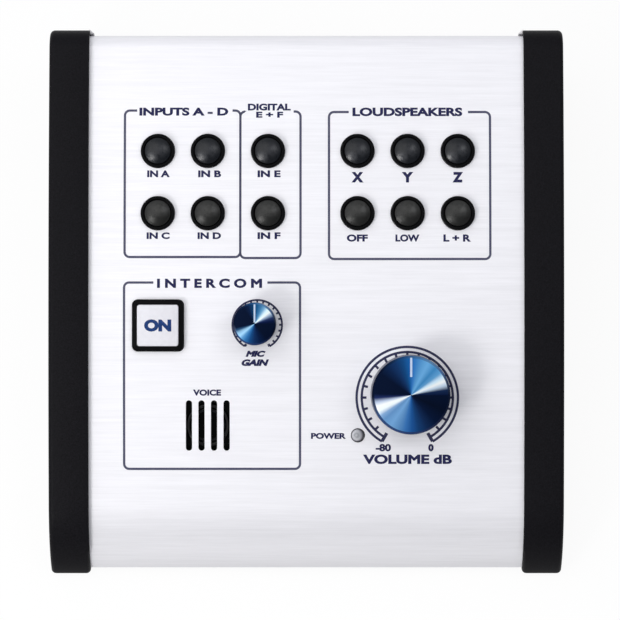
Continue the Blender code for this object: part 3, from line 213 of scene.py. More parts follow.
# Lamps: place in the face frame, size, power and colour
LAMPS = {
    "key_lamp": ((-0.46, 0.24, 0.86), 0.90, 3.0, (1.0, 0.99, 0.97)),
    "low_lamp": ((-0.37, -0.26, 0.48), 0.17, 1.3, (1.0, 0.99, 0.97)),
    "fill_lamp": ((0.58, 0.34, 1.05), 0.40, 1.7, (0.95, 0.97, 1.0)),
}

# Names
CORNERS = [(end, label) for end in ("front", "rear") for label in ("left", "right")]
LEFT_BUTTONS = ("input_1", "input_2", "digital_in_1", "input_3", "input_4", "digital_in_2")
RIGHT_BUTTONS = ("speaker_a", "speaker_b", "speaker_c", "mute", "dim", "mono")
BUTTONS = LEFT_BUTTONS + RIGHT_BUTTONS
ROW_LENGTH = 3
UPPER_BUTTONS = LEFT_BUTTONS[:ROW_LENGTH] + RIGHT_BUTTONS[:ROW_LENGTH]


# The face frame

def face_matrix():
    """The face frame, found from the large knob's joint, which stands square on the face."""
    joint = next(entry for entry in frame["joints"] if entry["name"] == "main_level_turn")
    normal = Vector(joint["axis"]).normalized()
    up_face = Vector((0, normal.z, -normal.y))
    origin = Vector(joint["pos_m"]) - up_face * MAIN_KNOB_V
    return Matrix((
        (1, 0, 0, 0),
        (0, up_face.y, normal.y, origin.y),
        (0, up_face.z, normal.z, origin.z),
        (0, 0, 0, 1),
    ))


FACE = face_matrix()
FACE_INVERSE = FACE.inverted()
FACE_TILT = math.atan2(FACE[2][1], FACE[1][1])


def face_range(node):
    """A CAD node's lowest and highest corners in the face frame."""
    points = [FACE_INVERSE @ vertex.co for vertex in frame["nodes"][node].data.vertices]
    lowest = Vector([min(point[axis] for point in points) for axis in range(3)])
    highest = Vector([max(point[axis] for point in points) for axis in range(3)])
    return lowest, highest


def face_place(node):
    """Where a CAD node stands on the face: the middle of its outline in u and v."""
    lowest, highest = face_range(node)
    middle = (lowest + highest) / 2
    return middle.x, middle.y


def face_height(v):
    """The cover's outer surface in w at a place v on the crown."""
    run = v - CROWN_APEX_V
    return math.sqrt(CROWN_RADIUS ** 2 - run ** 2) - CROWN_RADIUS


def at_pixel(x, y):
    """The place on the face, u and v, that the photograph shows at a pixel."""
    middle = PHOTO_SIDE_PX / 2
    return (x - middle) * METRES_PER_PX + VIEW_U, (middle - y) * METRES_PER_PX + VIEW_V


KEY_PLACE = face_place("talkback_key")
MIC_PLACE = face_place("mic_capsule")
LED_PLACE = face_place("status_led")


# The casing's side view, in the world's y and z. A lean is the angle between a surface's
# outward normal and up, counted towards the user.

def arc(centre, radius, lean_from, lean_to, steps):
    points = []
    for step in range(steps + 1):
        lean = lean_from + (lean_to - lean_from) * step / steps
        points.append((centre[0] - radius * math.sin(lean), centre[1] + radius * math.cos(lean)))
    return points


def on_arc(centre, radius, lean):
    return arc(centre, radius, lean, lean, 1)[0]


def side(v, w):
    """A point of the face frame in the side view."""
    place = FACE @ Vector((0, v, w))
    return place.y, place.z


BEND_START_V = REAR_LIMIT_V - REAR_BEND_RADIUS
ROLL_LEAN = math.asin((CROWN_APEX_V - ROLL_START_V) / CROWN_RADIUS)
BEND_LEAN = -math.asin((BEND_START_V - CROWN_APEX_V) / (CROWN_RADIUS - REAR_BEND_RADIUS))
ROLL_TOP_LEAN = ROLL_LEAN + FACE_TILT
BEND_TOP_LEAN = BEND_LEAN + FACE_TILT
ROLL_END_LEAN = math.radians(ROLL_END_LEAN_DEG) + FACE_TILT
STRAIGHT_BACK = -math.pi / 2
CROWN_CENTRE = side(CROWN_APEX_V, -CROWN_RADIUS)
ROLL_CENTRE = on_arc(CROWN_CENTRE, CROWN_RADIUS - ROLL_RADIUS, ROLL_TOP_LEAN)
BEND_CENTRE = on_arc(CROWN_CENTRE, CROWN_RADIUS - REAR_BEND_RADIUS, BEND_TOP_LEAN)
PANEL_Y = BEND_CENTRE[0] + REAR_BEND_RADIUS
OUTER_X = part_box("cheek_right")[1].x
PANEL_X = OUTER_X - CHEEK_WIDTH
SOCKET = Matrix(((-1, 0, 0, 0), (0, 0, 1, PANEL_Y), (0, 1, 0, SOCKET_Z), (0, 0, 0, 1)))
ON_SIDE = Matrix(((0, 0, 1, 0), (1, 0, 0, 0), (0, 1, 0, 0), (0, 0, 0, 1)))


def skin(offset, front_lean, rear_z):
    """The cover's outer face moved out by an offset, from front to rear."""
    points = arc(ROLL_CENTRE, ROLL_RADIUS + offset, front_lean, ROLL_TOP_LEAN, ROLL_STEPS)
    points += arc(CROWN_CENTRE, CROWN_RADIUS + offset, ROLL_TOP_LEAN, BEND_TOP_LEAN, CROWN_STEPS)[1:]
    points += arc(BEND_CENTRE, REAR_BEND_RADIUS + offset, BEND_TOP_LEAN, STRAIGHT_BACK, BEND_STEPS)[1:]
    points.append((PANEL_Y + offset, rear_z))
    return points


def sheet_outline(gap, front_lean, rear_z):
    """The bent sheet's section, with a gap added on both of its faces."""
    outer = skin(gap, front_lean, rear_z)
    return outer + skin(-COVER_THICKNESS - gap, front_lean, rear_z)[::-1]


# Mesh helpers

def new_piece(name, mesh, matrix=None):
    piece = bpy.data.objects.new(name, mesh)
    bpy.context.scene.collection.objects.link(piece)
    if matrix is not None:
        piece.matrix_world = matrix
    return piece


def evaluated_mesh(source):
    bpy.context.view_layer.update()
    graph = bpy.context.evaluated_depsgraph_get()
    return bpy.data.meshes.new_from_object(source.evaluated_get(graph))


def edit_of_curve(curve):
    """The mesh that a curve gives, open for editing. The curve's own object goes again."""
    holder = new_piece(curve.name, curve)
    edit = bmesh.new()
    edit.from_mesh(evaluated_mesh(holder))
    bpy.data.objects.remove(holder, do_unlink=True)
    return edit


def mesh_of(edit):
    """The mesh that the editing made."""
    mesh = bpy.data.meshes.new("made")
    edit.to_mesh(mesh)
    edit.free()
    return mesh


def bake_modifiers(piece):
    """Keep the shape that the modifiers give as the piece's own mesh."""
    mesh = evaluated_mesh(piece)
    piece.modifiers.clear()
    piece.data = mesh
    return piece


def circle(centre, radius, steps):
    turns = [2 * math.pi * step / steps for step in range(steps)]
    return [(centre[0] + radius * math.cos(turn), centre[1] + radius * math.sin(turn)) for turn in turns]


def corner_arc(before, corner, after, radius, steps):
    """The arc that rounds a corner between the two points beside it."""
    here = Vector(corner)
    to_last = (Vector(before) - here).normalized()
    to_next = (Vector(after) - here).normalized()
    half_angle = to_last.angle(to_next) / 2
    centre = here + (to_last + to_next).normalized() * (radius / math.sin(half_angle))
    run = radius / math.tan(half_angle)
    first = (here + to_last * run - centre).normalized()
    last = (here + to_next * run - centre).normalized()
    return [centre + first.slerp(last, step / steps) * radius for step in range(steps + 1)]


def rounded(corners, radius):
    """A closed outline with an arc in each corner."""
    points = []
    for index, corner in enumerate(corners):
        after = corners[(index + 1) % len(corners)]
        points += corner_arc(corners[index - 1], corner, after, radius, CORNER_STEPS)
    return points


def softened(path, steps=CORNER_STEPS):
    """An open path with an arc in each corner that has a rounding after its place."""
    points = []
    for index, (across, up, *rounding) in enumerate(path):
        if rounding:
            points += corner_arc(path[index - 1][:2], (across, up), path[index + 1][:2], *rounding, steps)
        else:
            points.append(Vector((across, up)))
    return points


def rectangle(centre, width, height):
    left = centre[0] - width / 2
    right = centre[0] + width / 2
    low = centre[1] - height / 2
    high = centre[1] + height / 2
    return [(left, low), (right, low), (right, high), (left, high)]


def slot_outline(centre, width, length, steps):
    half_run = (length - width) / 2
    points = []
    for end_sign in (1, -1):
        for step in range(steps + 1):
            turn = math.pi * step / steps
            across = width / 2 * math.cos(turn)
            along = half_run + width / 2 * math.sin(turn)
            points.append((centre[0] + end_sign * across, centre[1] + end_sign * along))
    return points


def prism_mesh(outlines, low, high):
    """Flat outlines given a thickness along Z. An outline inside another is a hole."""
    curve = bpy.data.curves.new("outline", "CURVE")
    curve.dimensions = "2D"
    curve.fill_mode = "BOTH"
    curve.extrude = (high - low) / 2
    for outline in outlines:
        spline = curve.splines.new("POLY")
        spline.points.add(len(outline) - 1)
        for point, place in zip(spline.points, outline):
            point.co = (place[0], place[1], 0, 1)
        spline.use_cyclic_u = True
    edit = edit_of_curve(curve)
    bmesh.ops.remove_doubles(edit, verts=edit.verts, dist=MERGE_DISTANCE)
    if len(outlines) == 1:
        for cap_sign in (1, -1):
            caps = [face for face in edit.faces if abs(face.normal.z - cap_sign) < MERGE_DISTANCE]
            bmesh.ops.dissolve_faces(edit, faces=caps)
    bmesh.ops.recalc_face_normals(edit, faces=edit.faces)
    bmesh.ops.translate(edit, verts=edit.verts, vec=(0, 0, (high + low) / 2))
    return mesh_of(edit)


def side_prism(name, outline, x_from, x_to):
    """An outline of the side view, given a thickness along X."""
    mesh = prism_mesh([outline], min(x_from, x_to), max(x_from, x_to))
    mesh.transform(ON_SIDE)
    return new_piece(name, mesh)


def turned_mesh(profile, steps):
    """A half profile turned round Z. A point on the axis becomes a single vertex."""
    edit = bmesh.new()
    rings = []
    for radius, height in profile:
        if radius < MERGE_DISTANCE:
            rings.append([edit.verts.new((0, 0, height))])
        else:
            rings.append([edit.verts.new((*place, height)) for place in circle((0, 0), radius, steps)])
    for upper, lower in zip(rings, rings[1:]):
        for step in range(steps):
            after = (step + 1) % steps
            corners = [upper[step % len(upper)], lower[step % len(lower)],
                       lower[after % len(lower)], upper[after % len(upper)]]
            edit.faces.new(list(dict.fromkeys(corners)))
    bmesh.ops.recalc_face_normals(edit, faces=edit.faces)
    return mesh_of(edit)


def turned_piece(name, profile, place, steps=STEPS, base=FACE):
    """A half profile turned round an axis that stands at a place on the face, or on another base."""
    return new_piece(name, turned_mesh(profile, steps), base @ Matrix.Translation((*place, 0)))


def merged_mesh(meshes_and_matrices):
    edit = bmesh.new()
    for mesh, matrix in meshes_and_matrices:
        before = len(edit.verts)
        edit.from_mesh(mesh)
        edit.verts.ensure_lookup_table()
        bmesh.ops.transform(edit, matrix=matrix, verts=edit.verts[before:])
    return mesh_of(edit)


def cut(piece, helper, operation="DIFFERENCE"):
    """Cut a helper out of a piece, or join it on, and let the helper go."""
    modifier = piece.modifiers.new("cut", "BOOLEAN")
    modifier.operation = operation
    modifier.solver = "EXACT"
    modifier.object = helper
    bake_modifiers(piece)
    bpy.data.objects.remove(helper, do_unlink=True)
    return piece


def round_edges(piece, width, segments):
    bevel = piece.modifiers.new("rounding", "BEVEL")
    bevel.width = width
    bevel.segments = segments
    bevel.limit_method = "ANGLE"
    bevel.angle_limit = math.radians(ROUNDING_ANGLE_DEG)
    return bake_modifiers(piece)


def dress(piece, materials, replaced=(), body="root"):
    """Smooth shading, materials, the CAD nodes that it stands for and the body it rides on."""
    piece.data.shade_smooth()
    piece.data.set_sharp_from_angle(angle=math.radians(SMOOTH_ANGLE_DEG))
    piece.data.materials.clear()
    for material in materials:
        piece.data.materials.append(MATERIALS[material])
    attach(piece, body)
    if replaced:
        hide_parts(*replaced)
    return piece


def paint_faces(piece, choose):
    """Give each face the material that a rule picks by its distance from the axis and its height."""
    for polygon in piece.data.polygons:
        middle = polygon.center
        polygon.material_index = choose(math.hypot(middle.x, middle.y), middle.z)


# Materials

# Grained ones: colour, roughness, fineness and depth of the grain, contrast, metallic, specular
GRAINED = {
    "cheek_moulding": ((0.0074, 0.0071, 0.0088), 0.42, 2600, 0.00004, 0.35, 0, 0.05),
    "cheek_web": ((0.70, 0.69, 0.70), 0.50, 2600, 0.00002, 0.1),
    "collar_moulding": ((0.0016, 0.0016, 0.0021), 0.48, 3000, 0.000004, 0.15, 0, 0.06),
    "milk_key": ((0.76, 0.755, 0.80), 0.38, 700, 0.000004, 0.03),
    "blue_knob_side": ((0.005, 0.020, 0.085), 0.30, 1500, 0.000003, 0.15, 1),
    "pointer_paint": ((0.50, 0.62, 0.80), 0.5, 1500, 0.000002, 0.03),
    "foot_rubber": ((0.018, 0.018, 0.018), 0.85, 1800, 0.00003, 0.2),
    "boot_rubber": ((0.0012, 0.0012, 0.0014), 0.18, 1800, 0.000004, 0.2, 0, 0.25),
    "tray_powder_coat": ((0.022, 0.022, 0.024), 0.55, 1600, 0.00002, 0.2),
    "screw_black_zinc": ((0.06, 0.06, 0.065), 0.35, 2500, 0.000004, 0.2, 0.9),
    "bright_zinc": ((0.62, 0.62, 0.60), 0.30, 1500, 0.000004, 0.06, 1),
    "switch_black": ((0.012, 0.012, 0.012), 0.40, 1500, 0.000004, 0.2),
    "insulator_black": ((0.010, 0.010, 0.011), 0.45, 1800, 0.000004, 0.2),
    "capsule_can": ((0.014, 0.014, 0.016), 0.40, 1500, 0.000004, 0.1, 0.9),
    "capsule_felt": ((0.003, 0.003, 0.0033), 0.95, 5000, 0.00005, 0.4, 0, 0.1),
    "print_ink": ((0.012, 0.013, 0.070), 0.42, 2500, 0.000002, 0.08, 0, 0.2),
    "frame_ink": ((0.070, 0.072, 0.125), 0.42, 2500, 0.000002, 0.08, 0, 0.2),
    "scale_ink": ((0.030, 0.032, 0.085), 0.42, 2500, 0.000002, 0.08, 0, 0.2),
    "key_ink": ((0.005, 0.036, 0.16), 0.40, 1200, 0.000002, 0.20, 0, 0.2),
}
GRAIN_ROUGHNESS_SWING = 0.06
PLAIN_SPECULAR = 0.5

# Noise: two values that most of it lies between, and the detail of a fine and a broad one
NOISE_LOW = 0.3
NOISE_HIGH = 0.7
FINE_DETAIL = 3.0
BROAD_DETAIL = 2.0

# The scale of a pattern that is the same at every height
FLAT_SCALE = (1, 1, 0)

# Brushed cover: how finely its strands are drawn out along X, and its shades across their sum
COVER_COLOUR = (0.90, 0.895, 0.93)
COVER_METALLIC = 0.20
COVER_ROUGHNESS = 0.38
COVER_ROUGHNESS_SWING = 0.05
FINE_STRANDS = (90, 2600, 2600)
BROAD_STRANDS = (26, 900, 900)
STRANDS_LOW = 0.6
STRANDS_HIGH = 1.4
COVER_SHADES = ((0, 0.945), (1, 1.035))
STRAND_DEPTH = 0.000004

# Board and ribbon: how fine their pattern is, and each shade's position and share of the colour
BOARD_COLOUR = (0.0012, 0.0032, 0.0027)
BOARD_ROUGHNESS = 0.35
BOARD_SPECULAR = 0.2
BOARD_FINENESS = 320
BOARD_SHADES = ((0.06, 3), (0.10, 1))
RIBBON_COLOUR = (0.30, 0.30, 0.31)
RIBBON_ROUGHNESS = 0.55
RIBBON_FINENESS = 250
RIBBON_SHADES = ((0.1, 0.5), (0.5, 1))
RIBBON_DEPTH = 0.0001

# Smoked caps: dark colour, light colour, roughness and specular, then soft spots of painted highlight, each
# with its middle, reach and strength. The two rows are copies of one plastic, tinted as a painted reflection,
# the upper rows with painted highlights low on the left and faint on the right, the lower rows a broad one
# high on the right.
SMOKED = {
    "smoked_cap_cool": ((0.0030, 0.0045, 0.0075), (0.085, 0.088, 0.100), 0.30, 0.32,
                        [((-0.0018, -0.0019, 0), 0.0022, 0.60), ((0.0011, 0.0003, 0), 0.0026, 0.28)]),
    "smoked_cap_warm": ((0.0080, 0.0083, 0.0078), (0.090, 0.090, 0.085), 0.34, 0.34,
                        [((0.0009, 0.0014, 0), 0.0030, 0.40), ((-0.0014, -0.0016, 0), 0.0018, 0.12)]),
}
MOTTLE_SHIFT = (0.0107, 0.0053, 0.0031)
MOTTLE_FINENESS = 850
MOTTLE_LOW = 0.5
MOTTLE_HIGH = 1.5
MOTTLE_DEPTH = 0.00006
SMOKED_ROUGHNESS_SWING = 0.08

# Frosted lens with painted light and shade, pale in the middle and darker towards its rim about a shifted
# middle: share of its reach, then red, green and blue
LENS_COLOUR = (0.42, 0.42, 0.45)
LENS_IOR = 1.49
LENS_ROUGHNESS = 0.18
LENS_ROUGHNESS_LOW = 0.14
LENS_ROUGHNESS_HIGH = 0.26
LENS_CLOUD_FINENESS = 900
LENS_PAINTED_SHADE_SHIFT = (0.0004, -0.0001, 0)
LENS_REACH = 0.0022
LENS_PAINTED_SHADE_STOPS = [
    (0.0, 0.42, 0.43, 0.46), (0.25, 0.29, 0.30, 0.32), (0.50, 0.52, 0.53, 0.56),
    (0.68, 0.47, 0.47, 0.50), (0.80, 0.22, 0.22, 0.25), (0.92, 0.055, 0.055, 0.070),
    (1.0, 0.022, 0.020, 0.030),
]

# The fan of painted highlights and painted shade on a spun blue face and its chamfer: degrees round the knob,
# counted from the right, then red, green and blue. The large face has two painted white highlight wedges with
# broad blue ones after them, the small face narrower ones. Each material also has its roughness and metallic.
FAN_PAINTED_SHADE = (0.0005, 0.0050, 0.0240)
SPUN = {
    "main_knob_fan": (0.34, 0.65, [
        (0, 0.001, 0.007, 0.040), (9, 0.008, 0.025, 0.085), (16, 0.54, 0.68, 0.82), (23, 0.96, 1.0, 1.0),
        (30, 0.60, 0.82, 0.97), (37, 0.12, 0.36, 0.65), (48, 0.05, 0.25, 0.54), (62, 0.15, 0.42, 0.74),
        (72, 0.10, 0.33, 0.64), (84, 0.035, 0.19, 0.53), (94, 0.010, 0.11, 0.36), (104, 0.005, 0.060, 0.20),
        (116, 0.005, 0.032, 0.12), (130, 0.002, 0.014, 0.060), (145, *FAN_PAINTED_SHADE), (178, *FAN_PAINTED_SHADE),
        (185, 0.012, 0.025, 0.11), (192, 0.48, 0.58, 0.76), (198, 0.96, 1.0, 1.0), (206, 0.90, 0.98, 1.0),
        (214, 0.24, 0.42, 0.68), (222, 0.13, 0.30, 0.58), (236, 0.18, 0.40, 0.71), (248, 0.12, 0.30, 0.58),
        (260, 0.042, 0.18, 0.48), (271, 0.013, 0.095, 0.33), (282, 0.008, 0.052, 0.18),
        (296, 0.005, 0.024, 0.090), (312, 0.001, 0.008, 0.038), (335, 0.0005, 0.004, 0.018),
        (350, 0.0005, 0.005, 0.024),
    ]),
    "mic_knob_fan": (0.34, 0.65, [
        (0, *FAN_PAINTED_SHADE), (10, 0.002, 0.009, 0.055), (20, 0.025, 0.045, 0.14), (29, 0.30, 0.42, 0.60),
        (38, 0.92, 1.0, 1.0), (47, 0.74, 0.94, 1.0), (58, 0.18, 0.42, 0.66), (68, 0.055, 0.21, 0.42),
        (80, 0.012, 0.10, 0.26), (94, 0.005, 0.045, 0.14), (110, 0.002, 0.012, 0.050), (125, *FAN_PAINTED_SHADE),
        (192, *FAN_PAINTED_SHADE), (200, 0.020, 0.070, 0.17), (209, 0.25, 0.48, 0.70), (219, 0.36, 0.66, 0.92),
        (229, 0.10, 0.32, 0.60), (240, 0.030, 0.17, 0.44), (254, 0.007, 0.065, 0.22),
        (270, 0.005, 0.028, 0.11), (288, 0.001, 0.011, 0.055), (310, *FAN_PAINTED_SHADE),
    ]),
    "blue_knob_edge": (0.28, 0.85, [
        (0, *FAN_PAINTED_SHADE), (20, 0.033, 0.049, 0.098), (40, 0.065, 0.143, 0.312), (60, 0.117, 0.260, 0.468),
        (80, 0.055, 0.176, 0.377), (100, 0.013, 0.072, 0.215), (120, 0.004, 0.019, 0.062),
        (140, *FAN_PAINTED_SHADE), (182, *FAN_PAINTED_SHADE), (196, 0.052, 0.072, 0.130), (215, 0.029, 0.072, 0.195),
        (250, 0.026, 0.058, 0.169), (285, 0.016, 0.036, 0.117), (310, 0.008, 0.014, 0.052),
        (335, *FAN_PAINTED_SHADE),
    ]),
}
SPUN_COLOUR = (0.02, 0.11, 0.42)
SPUN_SPECULAR = 0.10
SPUN_FINENESS = 2200
SPUN_WAVER = 0.6
SPUN_DEPTH = 0.000002
FULL_TURN_DEG = 360


class Nodes:
    """Short calls for the nodes of a material or a world."""

    def __init__(self, owner):
        owner.use_nodes = True
        self.owner = owner
        self.nodes = owner.node_tree.nodes
        self.links = owner.node_tree.links

    def feed(self, node, sockets):
        """Give each socket its value, or link it to the output that feeds it."""
        for socket, value in sockets.items():
            if isinstance(value, bpy.types.NodeSocket):
                self.links.new(value, node.inputs[socket])
            else:
                node.inputs[socket].default_value = value

    def node(self, kind, sockets=None, **settings):
        node = self.nodes.new("ShaderNode" + kind)
        for setting, value in settings.items():
            setattr(node, setting, value)
        self.feed(node, sockets or {})
        return node

    def math(self, operation, *values):
        return self.node("Math", dict(enumerate(values)), operation=operation).outputs["Value"]

    def spread(self, value, low, high, new_low, new_high):
        """A value's range moved to another range."""
        sockets = {"Value": value, "From Min": low, "From Max": high, "To Min": new_low, "To Max": new_high}
        return self.node("MapRange", sockets).outputs["Result"]


class Shader(Nodes):
    """A new material round one Principled shader."""

    def __init__(self, name, colour, roughness, metallic=0, specular=PLAIN_SPECULAR):
        super().__init__(bpy.data.materials.new(name))
        self.owner.diffuse_color = (*colour, 1)
        self.principled = self.nodes["Principled BSDF"]
        self.feed(self.principled, {
            "Base Color": (*colour, 1),
            "Roughness": roughness,
            "Metallic": metallic,
            "Specular IOR Level": specular,
        })

    def object_place(self, scale=(1, 1, 1), shift=(0, 0, 0)):
        """The place on the object, stretched by a scale along each axis and then shifted."""
        place = self.node("TexCoord").outputs["Object"]
        return self.node("Mapping", {"Vector": place, "Scale": scale, "Location": shift}).outputs["Vector"]

    def noise(self, place, fineness, detail):
        return self.node("TexNoise", {"Vector": place, "Scale": fineness, "Detail": detail}).outputs["Fac"]

    def ramp(self, value, stops):
        """Colours along a value. Each stop is a position, then red, green and blue."""
        ramp = self.node("ValToRGB", {"Fac": value})
        elements = ramp.color_ramp.elements
        while len(elements) < len(stops):
            elements.new(1.0)
        for element, (position, *colour) in zip(elements, stops):
            element.position = position
            element.color = (*colour, 1)
        return ramp.outputs["Color"]

    def shades(self, value, colour, stops):
        """Shades of one colour along a value. Each stop is a position and the share of the colour."""
        return self.ramp(value, [(position, *[channel * share for channel in colour])
                                 for position, share in stops])

    def round_axis(self, stops):
        """Colours by the degrees round the object's Z axis, counted from X."""
        place = self.node("TexCoord").outputs["Object"]
        parts = self.node("SeparateXYZ", {"Vector": place}).outputs
        angle = self.math("WRAP", self.math("ARCTAN2", parts["Y"], parts["X"]), 2 * math.pi, 0)
        share = self.spread(angle, 0, 2 * math.pi, 0, 1)
        return self.ramp(share, [(degrees / FULL_TURN_DEG, *colour) for degrees, *colour in stops])

    def roughness_round(self, noise, roughness, swing):
        """A roughness that swings to either side with a noise."""
        return self.spread(noise, NOISE_LOW, NOISE_HIGH, roughness - swing, roughness + swing)

    def finished(self, colour, roughness=None, height=None, depth=0):
        """The material, its colour, roughness and bump fed from outputs."""
        self.feed(self.principled, {"Base Color": colour})
        if roughness is not None:
            self.feed(self.principled, {"Roughness": roughness})
        if height is not None:
            bump = self.node("Bump", {"Distance": depth, "Height": height})
            self.feed(self.principled, {"Normal": bump.outputs["Normal"]})
        return self.owner


def grained_material(name, colour, roughness, fineness, depth, contrast, *metallic_and_specular):
    """A surface with a fine grain that moves its colour, roughness and height a little."""
    shader = Shader(name, colour, roughness, *metallic_and_specular)
    grain = shader.noise(shader.object_place(), fineness, FINE_DETAIL)
    tone = shader.shades(grain, colour, ((NOISE_LOW, 1 - contrast), (NOISE_HIGH, 1 + contrast)))
    polish = shader.roughness_round(grain, roughness, GRAIN_ROUGHNESS_SWING)
    return shader.finished(tone, polish, grain, depth)


def cover_material(name):
    """Satin aluminium, brushed along X."""
    shader = Shader(name, COVER_COLOUR, COVER_ROUGHNESS, COVER_METALLIC)
    fine = shader.noise(shader.object_place(FINE_STRANDS), 1, FINE_DETAIL)
    broad = shader.noise(shader.object_place(BROAD_STRANDS), 1, BROAD_DETAIL)
    strands = shader.spread(shader.math("ADD", fine, broad), STRANDS_LOW, STRANDS_HIGH, 0, 1)
    polish = shader.roughness_round(fine, COVER_ROUGHNESS, COVER_ROUGHNESS_SWING)
    return shader.finished(shader.shades(strands, COVER_COLOUR, COVER_SHADES), polish, fine, STRAND_DEPTH)


def spun_material(name, roughness, metallic, stops):
    """Blue anodised metal, spun in fine rings that are only a bump; its fan of highlight and shade is painted
    into the colour by the degrees round the axis.
    """
    shader = Shader(name, SPUN_COLOUR, roughness, metallic, SPUN_SPECULAR)
    sockets = {"Scale": SPUN_FINENESS, "Distortion": SPUN_WAVER, "Vector": shader.object_place()}
    rings = shader.node("TexWave", sockets, wave_type="RINGS", rings_direction="Z")
    return shader.finished(shader.round_axis(stops), height=rings.outputs["Fac"], depth=SPUN_DEPTH)


def board_material(name):
    """Dark solder mask with paler tracks."""
    shader = Shader(name, BOARD_COLOUR, BOARD_ROUGHNESS, 0, BOARD_SPECULAR)
    sockets = {"Scale": BOARD_FINENESS, "Vector": shader.object_place(FLAT_SCALE)}
    cells = shader.node("TexVoronoi", sockets, feature="DISTANCE_TO_EDGE", distance="MANHATTAN")
    return shader.finished(shader.shades(cells.outputs["Distance"], BOARD_COLOUR, BOARD_SHADES))


def ribbon_material(name):
    """Grey ribbon of parallel cores, ribbed across its width."""
    shader = Shader(name, RIBBON_COLOUR, RIBBON_ROUGHNESS)
    sockets = {"Scale": RIBBON_FINENESS, "Vector": shader.object_place()}
    ribs = shader.node("TexWave", sockets, wave_type="BANDS", bands_direction="X").outputs["Fac"]
    return shader.finished(shader.shades(ribs, RIBBON_COLOUR, RIBBON_SHADES), height=ribs, depth=RIBBON_DEPTH)


def smoked_material(name, dark, light, roughness, specular, painted_spots):
    """Smoked plastic, mottled, with soft spots of painted highlight added to its colour."""
    shader = Shader(name, dark, roughness, 0, specular)
    mottle = shader.noise(shader.object_place(shift=MOTTLE_SHIFT), MOTTLE_FINENESS, FINE_DETAIL)
    mottled = shader.spread(mottle, NOISE_LOW, NOISE_HIGH, MOTTLE_LOW, MOTTLE_HIGH)
    flat_place = shader.object_place(FLAT_SCALE)
    painted_light_total = None
    # Each spot is painted highlight, strongest at its middle and gone at its reach.
    for middle, reach, strength in painted_spots:
        distance = shader.node("VectorMath", {0: flat_place, 1: middle}, operation="DISTANCE")
        cloud = shader.spread(distance.outputs["Value"], 0, reach, strength, 0)
        painted_light_total = cloud if painted_light_total is None else shader.math("ADD", painted_light_total, cloud)
    tone = shader.ramp(shader.math("MULTIPLY", painted_light_total, mottled), [(0, *dark), (1, *light)])
    polish = shader.roughness_round(mottle, roughness, SMOKED_ROUGHNESS_SWING)
    return shader.finished(tone, polish, mottle, MOTTLE_DEPTH)


def lens_material(name):
    """A frosted clear lens, with painted light in the middle and painted shade towards its rim."""
    shader = Shader(name, LENS_COLOUR, LENS_ROUGHNESS)
    shader.feed(shader.principled, {"IOR": LENS_IOR})
    place = shader.object_place(FLAT_SCALE, LENS_PAINTED_SHADE_SHIFT)
    distance = shader.node("VectorMath", {0: place}, operation="LENGTH")
    share = shader.spread(distance.outputs["Value"], 0, LENS_REACH, 0, 1)
    cloud = shader.noise(shader.object_place(), LENS_CLOUD_FINENESS, BROAD_DETAIL)
    polish = shader.spread(cloud, NOISE_LOW, NOISE_HIGH, LENS_ROUGHNESS_LOW, LENS_ROUGHNESS_HIGH)
    return shader.finished(shader.ramp(share, LENS_PAINTED_SHADE_STOPS), polish)


def all_materials():
    made = {name: grained_material(name, *values) for name, values in GRAINED.items()}
    made.update({name: smoked_material(name, *values) for name, values in SMOKED.items()})
    made.update({name: spun_material(name, *values) for name, values in SPUN.items()})
    for name, make in (("brushed_cover", cover_material), ("frosted_lens", lens_material),
                       ("board_mask", board_material), ("ribbon_grey", ribbon_material)):
        made[name] = make(name)
    return made


MATERIALS = all_materials()


# Casing

def make_cover():
    """The bent brushed sheet with all its openings."""
    half_width = PANEL_X + GROOVE_DEPTH - FIT_GAP
    outline = sheet_outline(0, ROLL_END_LEAN, COVER_EDGE_Z)
    cover = side_prism("brushed_cover_sheet", outline, -half_width, half_width)
    cut(cover, new_piece("face_openings", prism_mesh(face_openings(), -CUT_OVERRUN * 2, CUT_OVERRUN), FACE))
    rear_mesh = prism_mesh(rear_openings(), -COVER_THICKNESS - CUT_OVERRUN, CUT_OVERRUN)
    cut(cover, new_piece("rear_openings", rear_mesh, SOCKET))
    return dress(cover, ["brushed_cover"], ["top_cover"])


def face_openings():
    outlines = []
    for name in BUTTONS:
        outlines.append(circle(face_place(name + "_cap"), COLLAR_RADIUS + RUNNING_GAP, STEPS))
    key_hole = rectangle(KEY_PLACE, BEZEL_SIZE + 2 * RUNNING_GAP, BEZEL_SIZE + 2 * RUNNING_GAP)
    outlines.append(rounded(key_hole, BEZEL_CORNER + RUNNING_GAP))
    first_slot = MIC_PLACE[0] - SLOT_PITCH * (SLOT_COUNT - 1) / 2
    for index in range(SLOT_COUNT):
        centre = (first_slot + SLOT_PITCH * index, MIC_PLACE[1])
        outlines.append(slot_outline(centre, SLOT_WIDTH, SLOT_LENGTH, CORNER_STEPS * 2))
    for node in ("main_pot_shaft", "mic_pot_shaft"):
        outlines.append(circle(face_place(node), KNOB_BORE_RADIUS + BUSHING_WALL + FIT_GAP, STEPS))
    outlines.append(circle(LED_PLACE, LED_RADIUS + RUNNING_GAP, STEPS))
    return outlines


def rear_openings():
    """The D-shaped hole of the rear socket, its wide side up, and the holes of the jackscrews."""
    height = SOCKET_HEIGHT + 2 * FIT_GAP
    half_wide = SOCKET_WIDTH / 2 + FIT_GAP
    half_narrow = half_wide - height * math.tan(math.radians(SOCKET_SLANT_DEG))
    corners = [
        (-half_narrow, -height / 2),
        (half_narrow, -height / 2),
        (half_wide, height / 2),
        (-half_wide, height / 2),
    ]
    outlines = [rounded(corners, SOCKET_CORNER + FIT_GAP)]
    for side_sign in (-1, 1):
        centre = (side_sign * JACKSCREW_SPACING / 2, 0)
        outlines.append(circle(centre, JACKSCREW_SHANK_RADIUS + FIT_GAP, SMALL_STEPS))
    return outlines


